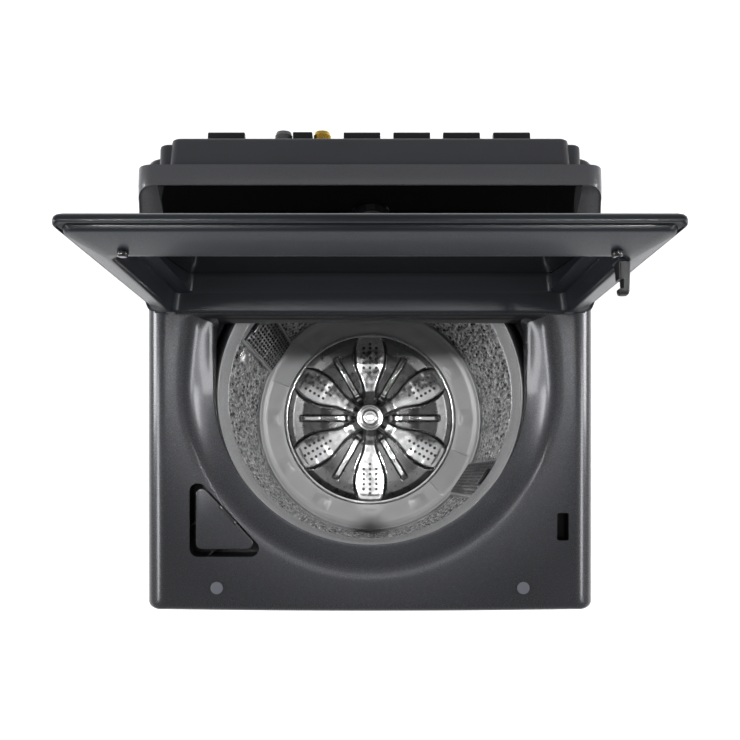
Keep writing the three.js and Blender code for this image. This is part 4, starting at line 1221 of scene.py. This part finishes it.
def gussets():
    """Plates in the corners of the cabinet that carry the suspension rods."""
    bodies = []
    for side in (-1, 1):
        for y in SPRING_Y:
            x0, x1 = sorted((side * 262, side * 339))
            bodies.append(box(x0, x1, y - 32, y + 32, 876, 880))
    plates = new_object("suspension_gussets", *merge(*bodies))
    dress(bevel(plates, 0.8), "zinc", "cabinet", "enamel", ["cabinet_wrap"])


def feet():
    profile = rounded([(0, 0), (20, 0), (22, 3), (20, 10), (9, 15), (6, 16), (6, 66), (0, 66)], 1.2)
    for i, (x, y) in enumerate([(x, y) for y in (-318, 296) for x in (-300, 300)], 1):
        piece(f"foot_{i}", moved(revolve(profile, 48), Matrix.Translation((x, y, 0))),
              "rubber", "cabinet", "rubber", [f"leveling_foot_{i}"])


def springs():
    turns, wire, radius, sides, steps = 7, 1.6, 15.2, 8, 24
    low, high = 308.2, 394
    for index, (x0, y0) in enumerate([(x, y) for y in SPRING_Y for x in (-285, 285)], 1):
        rings = []
        for i in range(turns * steps + 1):
            a = 2 * math.pi * i / steps
            z = low + (high - low) * i / (turns * steps)
            rings.append([(x0 + r * math.cos(a), y0 + r * math.sin(a), z + rise)
                          for r, rise in circle(wire, sides, radius)])
        obj = new_object(f"spring_coil_{index}", *loft(rings))
        dress(obj, "steel", "cabinet", "steel", [f"suspension_spring_{index}"], 60)
        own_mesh(obj)


# ---- CAD nodes that keep their shape, by finish

KEPT = {
    "black_plastic": ["base_frame", "lid_lock_housing", "dispenser_tray", "control_board",
                      "inlet_valve_body", "power_cord_gland", "tub_cover_ring", "drain_pump"],
    "grey_plastic": ["drain_outlet"],
    "tub_plastic": ["outer_tub"],
    "zinc": ["rear_panel", "lid_hinge_bracket_left", "lid_hinge_bracket_right", "motor_rotor"],
    "winding": ["motor_stator"],
    "steel": ["lid_lock_bolt", "dispenser_hinge_pin", "lid_hinge_pin_left", "lid_hinge_pin_right",
              "bearing_housing", "spin_tube", "drive_shaft"]
             + [f"suspension_rod_{i}" for i in range(1, 5)],
}


def dress_kept_nodes():
    for finish, nodes in KEPT.items():
        for node in nodes:
            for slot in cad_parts[node].material_slots:
                slot.material = MATERIALS[finish]


# ---- Studio


def light(kind, name, place, aim, power, **settings):
    data = bpy.data.lights.new(name, kind)
    data.energy = power
    for key, value in settings.items():
        setattr(data, key, value)
    obj = bpy.data.objects.new(name, data)
    obj.location = place
    obj.rotation_euler = (Vector(aim) - Vector(place)).to_track_quat("-Z", "Y").to_euler()
    bpy.context.collection.objects.link(obj)


def panel_light(name, place, aim, width, depth, power):
    light("AREA", name, place, aim, power, shape="RECTANGLE", size=width, size_y=depth)


def spot_light(name, place, aim, angle, power):
    light("SPOT", name, place, aim, power, spot_size=math.radians(angle), spot_blend=0.2,
          shadow_soft_size=0.1)


def studio_floor():
    half = 9000
    corners = [(-half, -half, 0), (half, -half, 0), (half, half, 0), (-half, half, 0)]
    floor = new_object("floor", corners, [(0, 1, 2, 3)])
    n = Nodes("studio_floor")
    floor.data.materials.append(n.finish({
        "Base Color": n.ramp(n.noise(2, 2), 0.90, 0.93),
        "Roughness": 0.9,
        "Emission Color": (1, 1, 1, 1),
        "Emission Strength": 0.55,
    }))


def studio_world():
    """A sky that is darker overhead than at the horizon."""
    n = Nodes("studio", "worlds", "Generated")
    height = n.add("ShaderNodeSeparateXYZ", {"Vector": n.coords}).outputs["Z"]
    sky = n.ramp(height, (0.80, 0.81, 0.83, 1), (0.42, 0.425, 0.44, 1), 0.1, 0.9)
    bpy.context.scene.world = n.finish({"Color": sky, "Strength": 0.5}, "Background")


def studio_lights():
    """Panels that light the bowl and the shoulders from the sides, and two lamps for the drum."""
    aim = (0, 0, 0.9)
    for hand, side in (("left", -1), ("right", 1)):
        panel_light(f"bowl_{hand}", (side * 2.7, 0.05, 1.75), aim, 0.7, 0.8, 27)
        panel_light(f"shoulder_{hand}", (side * 2.7, -0.75, 2.75), aim, 1.1, 0.5, 22)
        spot_light(f"drum_{hand}", (side * 0.8, -0.02, 3.3), (side * 0.04, -0.09, 0.92), 10.4, 180)
    panel_light("soft_top", (0, 0.1, 3.6), (0, 0, 0.3), 1.4, 1.2, 2.4)
    bpy.context.scene.view_settings.view_transform = "Standard"


# ---- Build

top_cover()
rear_black_strip()
deck_plugs()
dispenser()
lid_shell()
lid_knuckles()
lid_pane()
lid_striker()
lid_bumpers()
console()
knob()
buttons()
rear()
inlets()
balance_ring()
basket_wall()
basket_base()
impeller()
impeller_holes()
impeller_trim()
hub_cap()
lint_filter("lint_filter_left", FILTER_TURN)
lint_filter("lint_filter_right", FILTER_TURN + 180)
filter_clips()
cabinet()
gussets()
feet()
springs()
dress_kept_nodes()
studio_floor()
studio_world()
studio_lights()
